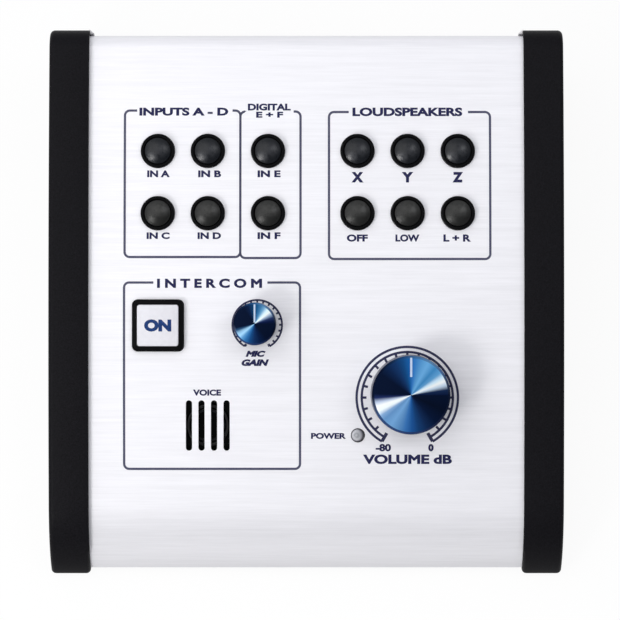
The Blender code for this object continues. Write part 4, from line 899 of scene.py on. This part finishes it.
def cheek_outline():
    """The side view of a cheek: a small nose, the cover's skin standing proud, and a heel."""
    reach = ROLL_RADIUS + CHEEK_PROUD - CHEEK_NOSE_RADIUS
    nose_z = TABLE_GAP + CHEEK_NOSE_RADIUS
    lean = math.acos((nose_z - ROLL_CENTRE[1]) / reach)
    nose_centre = (ROLL_CENTRE[0] - reach * math.sin(lean), nose_z)
    heel_z = TABLE_GAP + CHEEK_HEEL_RADIUS
    heel_centre = (PANEL_Y + CHEEK_PROUD - CHEEK_HEEL_RADIUS, heel_z)
    points = arc(nose_centre, CHEEK_NOSE_RADIUS, math.pi, lean, CORNER_STEPS)
    points += skin(CHEEK_PROUD, lean, heel_z)[1:]
    points += arc(heel_centre, CHEEK_HEEL_RADIUS, STRAIGHT_BACK, -math.pi, CORNER_STEPS)[1:]
    return points


def round_cheek_edges(cheek, side_sign):
    """Round the outer edges fully and the inner ones a little, apart from the nose."""
    mesh = cheek.data
    weights = mesh.attributes.new("bevel_weight_edge", "FLOAT", "EDGE").data
    for edge in mesh.edges:
        ends = [mesh.vertices[index].co for index in edge.vertices]
        if abs(ends[0].x - ends[1].x) > MERGE_DISTANCE:
            continue
        if ends[0].x * side_sign > (PANEL_X + OUTER_X) / 2 or max(end.z for end in ends) < NOSE_HEIGHT:
            weights[edge.index].value = 1
        else:
            weights[edge.index].value = INNER_EDGE_SHARE
    mesh.update()
    bevel = cheek.modifiers.new("rounding", "BEVEL")
    bevel.width = CHEEK_EDGE_ROUND
    bevel.segments = CHEEK_EDGE_SEGMENTS
    bevel.limit_method = "WEIGHT"
    bevel.use_clamp_overlap = False
    bake_modifiers(cheek)


def make_cheek(label, side_sign):
    """One end cheek: rounded outside, with the cover's groove and a hollow behind its wall."""
    inner = side_sign * PANEL_X
    outer = side_sign * OUTER_X
    cheek = side_prism(f"cheek_shell_{label}", cheek_outline(), inner, outer)
    round_cheek_edges(cheek, side_sign)
    start = inner - side_sign * CUT_OVERRUN
    depth = COVER_THICKNESS + FIT_GAP + CHEEK_LEDGE
    floor_z = TABLE_GAP + CHEEK_FLOOR
    floor_lean = math.acos((floor_z - ROLL_CENTRE[1]) / (ROLL_RADIUS - depth))
    pocket = skin(-depth, floor_lean, floor_z)
    cut(cheek, side_prism("pocket", pocket, start, outer - side_sign * CHEEK_OUTER_WALL))
    groove = sheet_outline(FIT_GAP, ROLL_END_LEAN + FIT_GAP / ROLL_RADIUS, COVER_EDGE_Z - FIT_GAP)
    cut(cheek, side_prism("groove", groove, start, inner + side_sign * GROOVE_DEPTH))
    return dress(cheek, ["cheek_moulding"], [f"cheek_{label}"])


def make_web(label, side_sign):
    """The small slanted web that fills the corner between the cheek's rear edge and the cover."""
    rear_y = PANEL_Y + CHEEK_PROUD - CHEEK_EDGE_ROUND * INNER_EDGE_SHARE
    outline = [
        (side_sign * (PANEL_X + FIT_GAP), PANEL_Y + FIT_GAP),
        (side_sign * (PANEL_X + FIT_GAP), rear_y),
        (side_sign * PANEL_X, rear_y),
        (side_sign * (PANEL_X - WEB_REACH), PANEL_Y + FIT_GAP),
    ]
    top = BEND_CENTRE[1] + REAR_BEND_RADIUS / 2
    mesh = prism_mesh([outline], TABLE_GAP + CHEEK_HEEL_RADIUS, top)
    return dress(new_piece(f"cheek_web_{label}", mesh), ["cheek_web"])


def make_foot(end, label):
    """A rubber foot with a soft lower edge and a dimple."""
    node = f"foot_{end}_{label}"
    lowest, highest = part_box(node)
    centre = (lowest + highest) / 2
    profile = softened([
        (0, highest.z),
        (FOOT_RADIUS, highest.z),
        (FOOT_RADIUS, 0, FOOT_EDGE_ROUND),
        (FOOT_RECESS_RADIUS, 0, FOOT_EDGE_ROUND / 2),
        (FOOT_RECESS_RADIUS, FOOT_RECESS_DEPTH),
        (0, FOOT_RECESS_DEPTH),
    ])
    foot = turned_piece(f"rubber_{node}", profile, centre.xy, base=Matrix.Identity(4))
    return dress(foot, ["foot_rubber"], [node])


def make_base_screw(end, label):
    """A pan-head screw with a cross recess."""
    node = f"base_screw_{end}_{label}"
    lowest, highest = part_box(node)
    centre = (lowest + highest) / 2
    seat = lowest.z + BASE_SCREW_HEAD_HEIGHT
    profile = softened([
        (0, highest.z),
        (BASE_SCREW_RADIUS, highest.z),
        (BASE_SCREW_RADIUS, seat),
        (BASE_SCREW_HEAD_RADIUS, seat),
        (BASE_SCREW_HEAD_RADIUS, lowest.z, SCREW_EDGE_ROUND),
        (0, lowest.z),
    ])
    screw = turned_piece(f"dark_{node}", profile, centre.xy, SMALL_STEPS, Matrix.Identity(4))
    for size in ((RECESS_SPAN, RECESS_WIDTH), (RECESS_WIDTH, RECESS_SPAN)):
        arm = prism_mesh([rectangle((0, 0), *size)], lowest.z - CUT_OVERRUN, lowest.z + RECESS_DEPTH)
        cut(screw, new_piece("recess", arm, Matrix.Translation((*centre.xy, 0))))
    return dress(screw, ["screw_black_zinc"], [node])


# Buttons

def make_guide(label, names):
    """The moulded guide of a group: its plate under the cover and a collar for each cap."""
    node = f"button_guide_{label}"
    places = [face_place(name + "_cap") for name in names]
    lowest, highest = face_range(node)
    plate_top = lowest.z + GUIDE_THICKNESS
    bore = COLLAR_RADIUS - COLLAR_WALL
    plate = rectangle((lowest + highest) / 2, highest.x - lowest.x, highest.y - lowest.y)
    outlines = [rounded(plate, GUIDE_CORNER)]
    outlines += [circle(place, bore, STEPS) for place in places]
    parts = [(prism_mesh(outlines, lowest.z, plate_top), Matrix.Identity(4))]
    for place in places:
        top = face_height(place[1]) + COLLAR_PROUD
        profile = softened([
            (bore, plate_top),
            (COLLAR_RADIUS, plate_top),
            (COLLAR_RADIUS, top, COLLAR_RIM_ROUND),
            (bore, top, COLLAR_RIM_ROUND),
            (bore, plate_top),
        ])
        parts.append((turned_mesh(profile, STEPS), Matrix.Translation((*place, 0))))
    guide = new_piece(f"collars_{label}", merged_mesh(parts), FACE)
    return dress(guide, ["collar_moulding"], [node])


def make_cap(name):
    """A smoked cap with a low dome, a flange and a stem."""
    node = f"{name}_cap"
    place = face_place(node)
    bottom = face_range(node)[0].z
    radius = COLLAR_RADIUS - COLLAR_WALL - RUNNING_GAP
    shoulder = face_height(place[1]) + CAP_SHOULDER_PROUD
    dome_radius = (radius ** 2 + CAP_CROWN_RISE ** 2) / (2 * CAP_CROWN_RISE)
    dome_lean = -math.asin(radius / dome_radius)
    dome = arc((0, shoulder + CAP_CROWN_RISE - dome_radius), dome_radius, 0, dome_lean, DOME_STEPS)
    flange_radius = COLLAR_RADIUS - COLLAR_WALL + CAP_FLANGE_WIDTH
    flange_bottom = bottom + CAP_STEM_LENGTH
    flange_top = flange_bottom + CAP_FLANGE_THICKNESS
    cap = turned_piece(f"smoked_{node}", dome + [
        (radius, flange_top),
        (flange_radius, flange_top),
        (flange_radius, flange_bottom),
        (CAP_STEM_RADIUS, flange_bottom),
        (CAP_STEM_RADIUS, bottom),
        (0, bottom),
    ], place)
    # The upper and lower rows take lit and shaded copies of the same smoked plastic, with painted highlights.
    material = "smoked_cap_cool" if name in UPPER_BUTTONS else "smoked_cap_warm"
    return dress(cap, [material], [node], f"{name}_button")


def key_prism(name, size, corner, low, high):
    """A square block at the talkback key's place, with rounded corners."""
    outline = rounded(rectangle(KEY_PLACE, size, size), corner)
    return new_piece(name, prism_mesh([outline], low, high), FACE)


def make_bezel():
    """The square collar of the talkback key, with its flange under the cover."""
    lowest = face_range("talkback_bezel")[0]
    flange_top = lowest.z + BEZEL_FLANGE_THICKNESS
    inside_flange = (lowest.z + flange_top) / 2
    bezel = key_prism("key_bezel", BEZEL_SIZE, BEZEL_CORNER, inside_flange, BEZEL_PROUD)
    round_edges(bezel, KEY_EDGE_ROUND, EDGE_SEGMENTS)
    flange_size = BEZEL_SIZE + 2 * BEZEL_FLANGE_WIDTH
    cut(bezel, key_prism("flange", flange_size, BEZEL_CORNER, lowest.z, flange_top), "UNION")
    cut(bezel, key_prism("opening", BEZEL_SIZE - 2 * BEZEL_WALL, KEY_CORNER + RUNNING_GAP,
                         lowest.z - CUT_OVERRUN, BEZEL_PROUD + CUT_OVERRUN))
    return dress(bezel, ["collar_moulding"], ["talkback_bezel"])


def make_key():
    """The square translucent cap, made as a rounded block only; its flange and stem below the bezel are not
    made.
    """
    size = BEZEL_SIZE - 2 * BEZEL_WALL - 2 * RUNNING_GAP
    key = key_prism("lit_key", size, KEY_CORNER, KEY_PROUD - KEY_DEPTH, KEY_PROUD)
    round_edges(key, KEY_EDGE_ROUND, EDGE_SEGMENTS)
    return dress(key, ["milk_key"], ["talkback_key"], "talkback_button")


# Knobs

def make_knob(label):
    """A turned knob: a spun face, a chamfer and a slightly tapered side, hollow below."""
    radius, height, chamfer, taper = KNOBS[label][0]
    node = f"{label}_knob"
    place = face_place(node)
    base = face_height(place[1])
    bottom = base + KNOB_LIFT
    top = base + height
    relief_top = bottom + KNOB_LIFT
    relief_radius = KNOB_BORE_RADIUS + BUSHING_WALL + FIT_GAP
    face_radius = radius - taper - chamfer
    knob = turned_piece(f"blue_{node}", softened([
        (0, top),
        (face_radius, top, KNOB_EDGE_ROUND),
        (radius - taper, top - chamfer, KNOB_EDGE_ROUND),
        (radius, bottom + chamfer / 2, KNOB_EDGE_ROUND),
        (radius - chamfer / 2, bottom),
        (relief_radius, bottom),
        (relief_radius, relief_top),
        (KNOB_BORE_RADIUS, relief_top),
        (KNOB_BORE_RADIUS, top - KNOB_CROWN),
        (0, top - KNOB_CROWN),
    ], EDGE_SEGMENTS), place, KNOB_STEPS)
    # The face and the chamfer carry the painted fans of highlight and shade; the side keeps its own colour.
    materials = [f"{node}_fan", "blue_knob_edge", "blue_knob_side"]
    dress(knob, materials, [node], f"{label}_control")

    def spun_or_plain(distance, height_here):
        if height_here > top - MERGE_DISTANCE:
            return 0
        return 1 if height_here > top - chamfer and distance > face_radius - KNOB_EDGE_ROUND else 2

    paint_faces(knob, spun_or_plain)
    return knob


def make_pointer(label):
    """The white line let into a knob's face, at rest straight up the face."""
    near, far, width = KNOBS[label][1]
    place = face_place(f"{label}_knob")
    top = face_height(place[1]) + KNOBS[label][0][1] + PRINT_LIFT
    mesh = prism_mesh([rectangle((0, (near + far) / 2), width, far - near)], top - PRINT_LIFT * 2, top)
    pointer = new_piece(f"{label}_pointer", mesh, FACE @ Matrix.Translation((*place, 0)))
    return dress(pointer, ["pointer_paint"], body=f"{label}_control")


# Microphone and status light

def make_capsule():
    """The capsule's can with a sunk felt disc."""
    lowest, highest = face_range("mic_capsule")
    rim = MIC_CAPSULE_RADIUS - MIC_CAPSULE_RIM
    capsule = turned_piece("felt_capsule", softened([
        (0, highest.z - MIC_FELT_SINK),
        (rim, highest.z - MIC_FELT_SINK),
        (rim, highest.z),
        (MIC_CAPSULE_RADIUS, highest.z, MIC_FELT_SINK),
        (MIC_CAPSULE_RADIUS, lowest.z),
        (0, lowest.z),
    ]), MIC_PLACE)
    dress(capsule, ["capsule_can", "capsule_felt"], ["mic_capsule"])
    paint_faces(capsule, lambda distance, height: int(distance < rim and height > lowest.z + MIC_FELT_SINK))
    return capsule


def make_boot():
    """The rubber ring that holds the capsule, with a soft lip below the slots."""
    lowest, highest = face_range("mic_boot")
    floor = face_range("mic_capsule")[0].z - FIT_GAP
    inner = MIC_CAPSULE_RADIUS + FIT_GAP
    outer = inner + MIC_BOOT_WALL
    boot = turned_piece("capsule_boot", softened([
        (0, floor),
        (inner, floor),
        (inner, highest.z, MIC_BOOT_LIP_ROUND),
        (outer, highest.z, MIC_BOOT_LIP_ROUND),
        (outer, lowest.z),
        (0, lowest.z),
    ]), MIC_PLACE)
    return dress(boot, ["boot_rubber"], ["mic_boot"])


def make_led():
    """The frosted lens of the status light."""
    base = face_height(LED_PLACE[1])
    bottom = base - LED_BODY_LENGTH
    flange_top = base - COVER_THICKNESS - FIT_GAP
    flange_radius = LED_RADIUS + LED_FLANGE_WIDTH
    profile = arc((0, base + LED_PROUD - LED_RADIUS), LED_RADIUS, 0, STRAIGHT_BACK, DOME_STEPS)
    profile += [(LED_RADIUS, flange_top), (flange_radius, flange_top), (flange_radius, bottom), (0, bottom)]
    led = turned_piece("status_lens", profile, LED_PLACE)
    return dress(led, ["frosted_lens"], ["status_led"])


# Printing

# Frames: left, right, top and bottom, and the gap for the caption in the top line, in pixels
FRAMES = {
    "frame_inputs": (124.5, 240.2, 110.0, 257.0, 136.7, 232.3),
    "frame_digital": (240.2, 300.5, 111.0, 258.0, 243.8, 293.6),
    "frame_speakers": (329.0, 490.4, 111.5, 259.0, 348.8, 468.4),
    "frame_talkback": (124.0, 300.0, 282.5, 469.0, 153.3, 267.4),
}

# Scales in pixels: middle, arcs, the reach of the ticks and of the end bars, and line width
SCALES = {
    "scale_main": ((407.3, 397.6), (50.7, 45.6), 40.8, 41.0, 2.4),
    "scale_mic": ((257.2, 324.8), (24.8,), 21.9, 22.2, 1.9),
}

# Captions: words, then left, right, top and bottom edges in pixels
CAPTIONS = {
    "caption_inputs": ("INPUTS A - D", 139.0, 228.0, 107.0, 115.2),
    "caption_digital": ("DIGITAL", 247.7, 290.7, 103.0, 110.0),
    "caption_digital_range": ("E + F", 256.0, 283.0, 111.2, 117.2),
    "caption_speakers": ("LOUDSPEAKERS", 352.6, 462.7, 107.0, 115.7),
    "label_input_1": ("IN A", 147.0, 169.5, 170.2, 177.0),
    "label_input_2": ("IN B", 198.0, 221.0, 170.2, 177.0),
    "label_digital_in_1": ("IN E", 257.5, 280.5, 170.2, 177.0),
    "label_input_3": ("IN C", 146.5, 169.5, 232.3, 239.0),
    "label_input_4": ("IN D", 197.5, 221.0, 232.3, 239.0),
    "label_digital_in_2": ("IN F", 257.5, 280.5, 232.3, 239.0),
    "label_speaker_a": ("X", 351.5, 363.5, 171.8, 182.3),
    "label_speaker_b": ("Y", 401.8, 413.4, 171.8, 182.3),
    "label_speaker_c": ("Z", 452.6, 463.2, 171.8, 182.3),
    "label_mute": ("OFF", 346.8, 367.8, 234.4, 241.6),
    "label_dim": ("LOW", 395.5, 419.5, 234.4, 241.6),
    "label_mono": ("L + R", 443.5, 471.0, 234.4, 241.6),
    "caption_talkback": ("I N T E R C O M", 157.0, 262.0, 278.6, 288.0),
    "caption_mic_word": ("MIC", 245.5, 265.5, 350.7, 356.9),
    "caption_mic_gain": ("GAIN", 241.5, 269.0, 359.3, 366.0),
    "label_mic": ("VOICE", 193.0, 221.0, 389.5, 395.7),
    "label_light": ("POWER", 311.0, 346.0, 433.0, 439.0),
    "scale_low": ("-80", 375.7, 391.0, 444.0, 451.5),
    "scale_high": ("0", 428.3, 433.7, 444.0, 451.5),
    "caption_volume": ("VOLUME dB", 363.0, 452.0, 454.6, 464.2),
}
SLANTED = ("caption_mic_word", "caption_mic_gain")


def make_print(name, mesh, ink):
    """Lay a flat mesh, drawn in u and v, on the crowned cover."""
    for vertex in mesh.vertices:
        u, v, w = vertex.co
        vertex.co = FACE @ Vector((u, v, face_height(v) + PRINT_LIFT + w))
    return dress(new_piece(name, mesh), [ink])


def band_mesh(path, width):
    """A line of even width along a path of places on the face, in short steps."""
    places = [Vector(path[0])]
    for goal in path[1:]:
        start = places[-1]
        run = Vector(goal) - start
        pieces = max(1, math.ceil(run.length / PRINT_STEP))
        places += [start + run * (step + 1) / pieces for step in range(pieces)]
    edit = bmesh.new()
    pairs = []
    for index, place in enumerate(places):
        before = places[max(index - 1, 0)]
        after = places[min(index + 1, len(places) - 1)]
        along = (after - before).normalized()
        across = Vector((-along.y, along.x)) * (width / 2)
        pairs.append([edit.verts.new((*(place + sign * across), 0)) for sign in (1, -1)])
    for (left, right), (next_left, next_right) in zip(pairs, pairs[1:]):
        edit.faces.new((left, right, next_right, next_left))
    return mesh_of(edit)


def frame_mesh(left, right, top, bottom, gap_left, gap_right):
    """A rounded frame, open between two places on its top edge."""
    path = [(gap_right, top)]
    for corner in ((right, top), (right, bottom), (left, bottom), (left, top)):
        path.append((*corner, FRAME_CORNER_PX))
    path.append((gap_left, top))
    return band_mesh([at_pixel(*point) for point in softened(path)], FRAME_LINE_PX * METRES_PER_PX)


def scale_mesh(centre_px, arcs_px, tick_px, end_px, line_px):
    """A dial's printed scale: arcs, inward ticks at even angles and heavier end bars."""
    sweep = SCALE_HALF_SWEEP_DEG
    round_deg = range(-sweep, sweep + 1, SCALE_ARC_STEP_DEG)
    ticks_deg = range(-sweep + SCALE_TICK_DEG, sweep, SCALE_TICK_DEG)
    lines = [([(radius_px, degrees) for degrees in round_deg], 1) for radius_px in arcs_px]
    lines += [([(arcs_px[-1], degrees), (tick_px, degrees)], 1) for degrees in ticks_deg]
    lines += [([(arcs_px[0], degrees), (end_px, degrees)], END_BAR_SHARE) for degrees in (-sweep, sweep)]
    parts = []
    for line, width_share in lines:
        places = []
        for radius_px, degrees in line:
            across_px = radius_px * math.sin(math.radians(degrees))
            up_px = radius_px * math.cos(math.radians(degrees))
            places.append(at_pixel(centre_px[0] + across_px, centre_px[1] - up_px))
        parts.append((band_mesh(places, width_share * line_px * METRES_PER_PX), Matrix.Identity(4)))
    return merged_mesh(parts)


def text_mesh(words, weight, slant=0.0):
    """Bold words as a thin skin of ink. Their bevelled edge is what makes them bold."""
    curve = bpy.data.curves.new("words", "FONT")
    curve.body = words
    curve.bevel_depth = weight
    curve.shear = slant
    curve.resolution_u = TEXT_RESOLUTION
    edit = edit_of_curve(curve)
    hidden = [face for face in edit.faces if face.calc_center_median().z < 0]
    bmesh.ops.delete(edit, geom=hidden, context="FACES")
    mesh = mesh_of(edit)
    mesh.transform(Matrix.Diagonal((1, 1, INK_THICKNESS / weight, 1)))
    return mesh


def fitted(mesh, left, right, low, high):
    """Stretch a flat mesh so that it fills a box on the face."""
    xs = [vertex.co.x for vertex in mesh.vertices]
    ys = [vertex.co.y for vertex in mesh.vertices]
    across = (right - left) / (max(xs) - min(xs))
    up = (high - low) / (max(ys) - min(ys))
    for vertex in mesh.vertices:
        x, y, z = vertex.co
        vertex.co = ((x - min(xs)) * across + left, (y - min(ys)) * up + low, z)
    return mesh


def make_caption(name, words, left, right, top, bottom):
    u_low, v_low = at_pixel(left, bottom)
    u_high, v_high = at_pixel(right, top)
    slanted = name in SLANTED
    weight = HEAVY_TEXT_WEIGHT if len(words) == 1 or slanted else TEXT_WEIGHT
    mesh = text_mesh(words, weight, TEXT_SLANT if slanted else 0.0)
    return make_print(name, fitted(mesh, u_low, u_high, v_low, v_high), "print_ink")


def make_printing():
    for name, sizes in FRAMES.items():
        make_print(name, frame_mesh(*sizes), "frame_ink")
    for name, (words, *edges) in CAPTIONS.items():
        make_caption(name, words, *edges)
    for name, sizes in SCALES.items():
        make_print(name, scale_mesh(*sizes), "scale_ink")


def make_key_legend():
    """Two plain letters on the square key."""
    (left, low), (right, low), (right, high), (left, high) = rectangle(
        KEY_PLACE, KEY_LEGEND_WIDTH, KEY_LEGEND_HEIGHT)
    mesh = fitted(text_mesh("ON", HEAVY_TEXT_WEIGHT), left, right, low, high)
    mesh.transform(FACE @ Matrix.Translation((0, 0, KEY_PROUD + PRINT_LIFT)))
    return dress(new_piece("key_legend", mesh), ["key_ink"], body="talkback_button")


# Assembly

def dress_inner_nodes():
    """Better materials for the solids that keep their own shape."""
    keepers = {
        "tray_powder_coat": ["base_tray"],
        "bright_zinc": ["main_pot_shaft", "mic_pot_shaft", "main_pot_body", "mic_pot_body",
                        "socket_shell", "jackscrew_left", "jackscrew_right"],
        "switch_black": ["talkback_switch"] + [f"{name}_switch" for name in BUTTONS],
        "screw_black_zinc": [f"board_screw_{end}_{label}" for end, label in CORNERS],
        "board_mask": ["control_board"],
        "insulator_black": ["socket_insert"],
        "ribbon_grey": ["link_ribbon"],
    }
    for material, nodes in keepers.items():
        for node in nodes:
            frame["nodes"][node].material_slots[0].material = MATERIALS[material]


make_cover()
for label, side_sign in (("left", -1), ("right", 1)):
    make_web(label, side_sign)
    make_cheek(label, side_sign)
for end, label in CORNERS:
    make_foot(end, label)
    make_base_screw(end, label)
make_guide("left", LEFT_BUTTONS)
make_guide("right", RIGHT_BUTTONS)
for button in BUTTONS:
    make_cap(button)
make_bezel()
make_key()
make_key_legend()
for label in KNOBS:
    make_knob(label)
for label in KNOBS:
    make_pointer(label)
make_capsule()
make_boot()
make_led()
make_printing()
dress_inner_nodes()


# Floor, light and camera

def seen_directly(tree):
    """1 for a ray from the camera, or one that was mirrored or let through, and 0 for scattered light."""
    path = tree.node("LightPath")
    total = path.outputs["Is Camera Ray"]
    for kind in ("Is Glossy Ray", "Is Transmission Ray"):
        total = tree.math("MAXIMUM", total, path.outputs[kind])
    return total


def floor_material():
    """White, lit by itself where the camera and reflections see it, but still shaded by the object."""
    tree = Nodes(bpy.data.materials.new("studio_floor"))
    tree.nodes.clear()
    seen = seen_directly(tree)
    matt = tree.node("BsdfDiffuse", {"Color": tree.spread(seen, 0, 1, FLOOR_TONE, FLOOR_SEEN_TONE)})
    glow = tree.node("Emission", {"Color": WHITE})
    share = tree.spread(seen, 0, 1, 0, FLOOR_GLOW_SHARE)
    mix = tree.node("MixShader", {"Fac": share, 1: matt.outputs["BSDF"], 2: glow.outputs["Emission"]})
    tree.node("OutputMaterial", {"Surface": mix.outputs["Shader"]})
    return tree.owner


def make_floor():
    mesh = bpy.data.meshes.new("studio_floor")
    corners = [(x, y, FLOOR_Z) for x, y in rectangle((0, 0), 2 * FLOOR_HALF, 2 * FLOOR_HALF)]
    mesh.from_pydata(corners, [], [(0, 1, 2, 3)])
    floor = new_piece("studio_floor", mesh)
    mesh.materials.append(floor_material())


def make_world():
    """A pale room, brighter on the left and behind, with a horizon that is white where it is seen."""
    world = bpy.data.worlds.new("studio")
    bpy.context.scene.world = world
    tree = Nodes(world)
    place = tree.node("TexCoord").outputs["Generated"]
    lean = tree.node("VectorMath", {0: place, 1: ROOM_LEAN}, operation="DOT_PRODUCT")
    room = tree.nodes["Background"]
    tree.feed(room, {"Color": ROOM_COLOUR, "Strength": tree.math("ADD", lean.outputs["Value"], ROOM_LEVEL)})
    height = tree.node("SeparateXYZ", {"Vector": place}).outputs["Z"]
    share = tree.math("MULTIPLY", tree.math("LESS_THAN", height, HORIZON_TOP), seen_directly(tree))
    seen = tree.node("Background", {"Color": WHITE})
    mix = tree.node("MixShader", {"Fac": share, 1: room.outputs["Background"], 2: seen.outputs["Background"]})
    tree.feed(tree.nodes["World Output"], {"Surface": mix.outputs["Shader"]})


def make_lamp(name, place, size, power, colour):
    """A square soft lamp at a place in the face frame, turned towards the middle of the face."""
    data = bpy.data.lights.new(name, "AREA")
    data.shape = "SQUARE"
    data.size = size
    data.energy = power
    data.color = colour
    lamp = new_piece(name, data)
    lamp.location = FACE @ Vector(place)
    aim = (FACE.translation - lamp.location).normalized()
    lamp.rotation_euler = aim.to_track_quat("-Z", "Y").to_euler()


def make_camera():
    data = bpy.data.cameras.new("photo_camera")
    data.sensor_width = SENSOR_MM
    data.lens = SENSOR_MM * VIEW_DISTANCE / (PHOTO_SIDE_PX * METRES_PER_PX)
    data.clip_start = CLIP_START
    view = FACE @ Matrix.Translation((VIEW_U, VIEW_V, VIEW_DISTANCE))
    bpy.context.scene.camera = new_piece("photo_camera", data, view)


make_floor()
make_world()
for lamp_name, lamp_values in LAMPS.items():
    make_lamp(lamp_name, *lamp_values)
make_camera()
bpy.context.scene.view_settings.view_transform = "Standard"
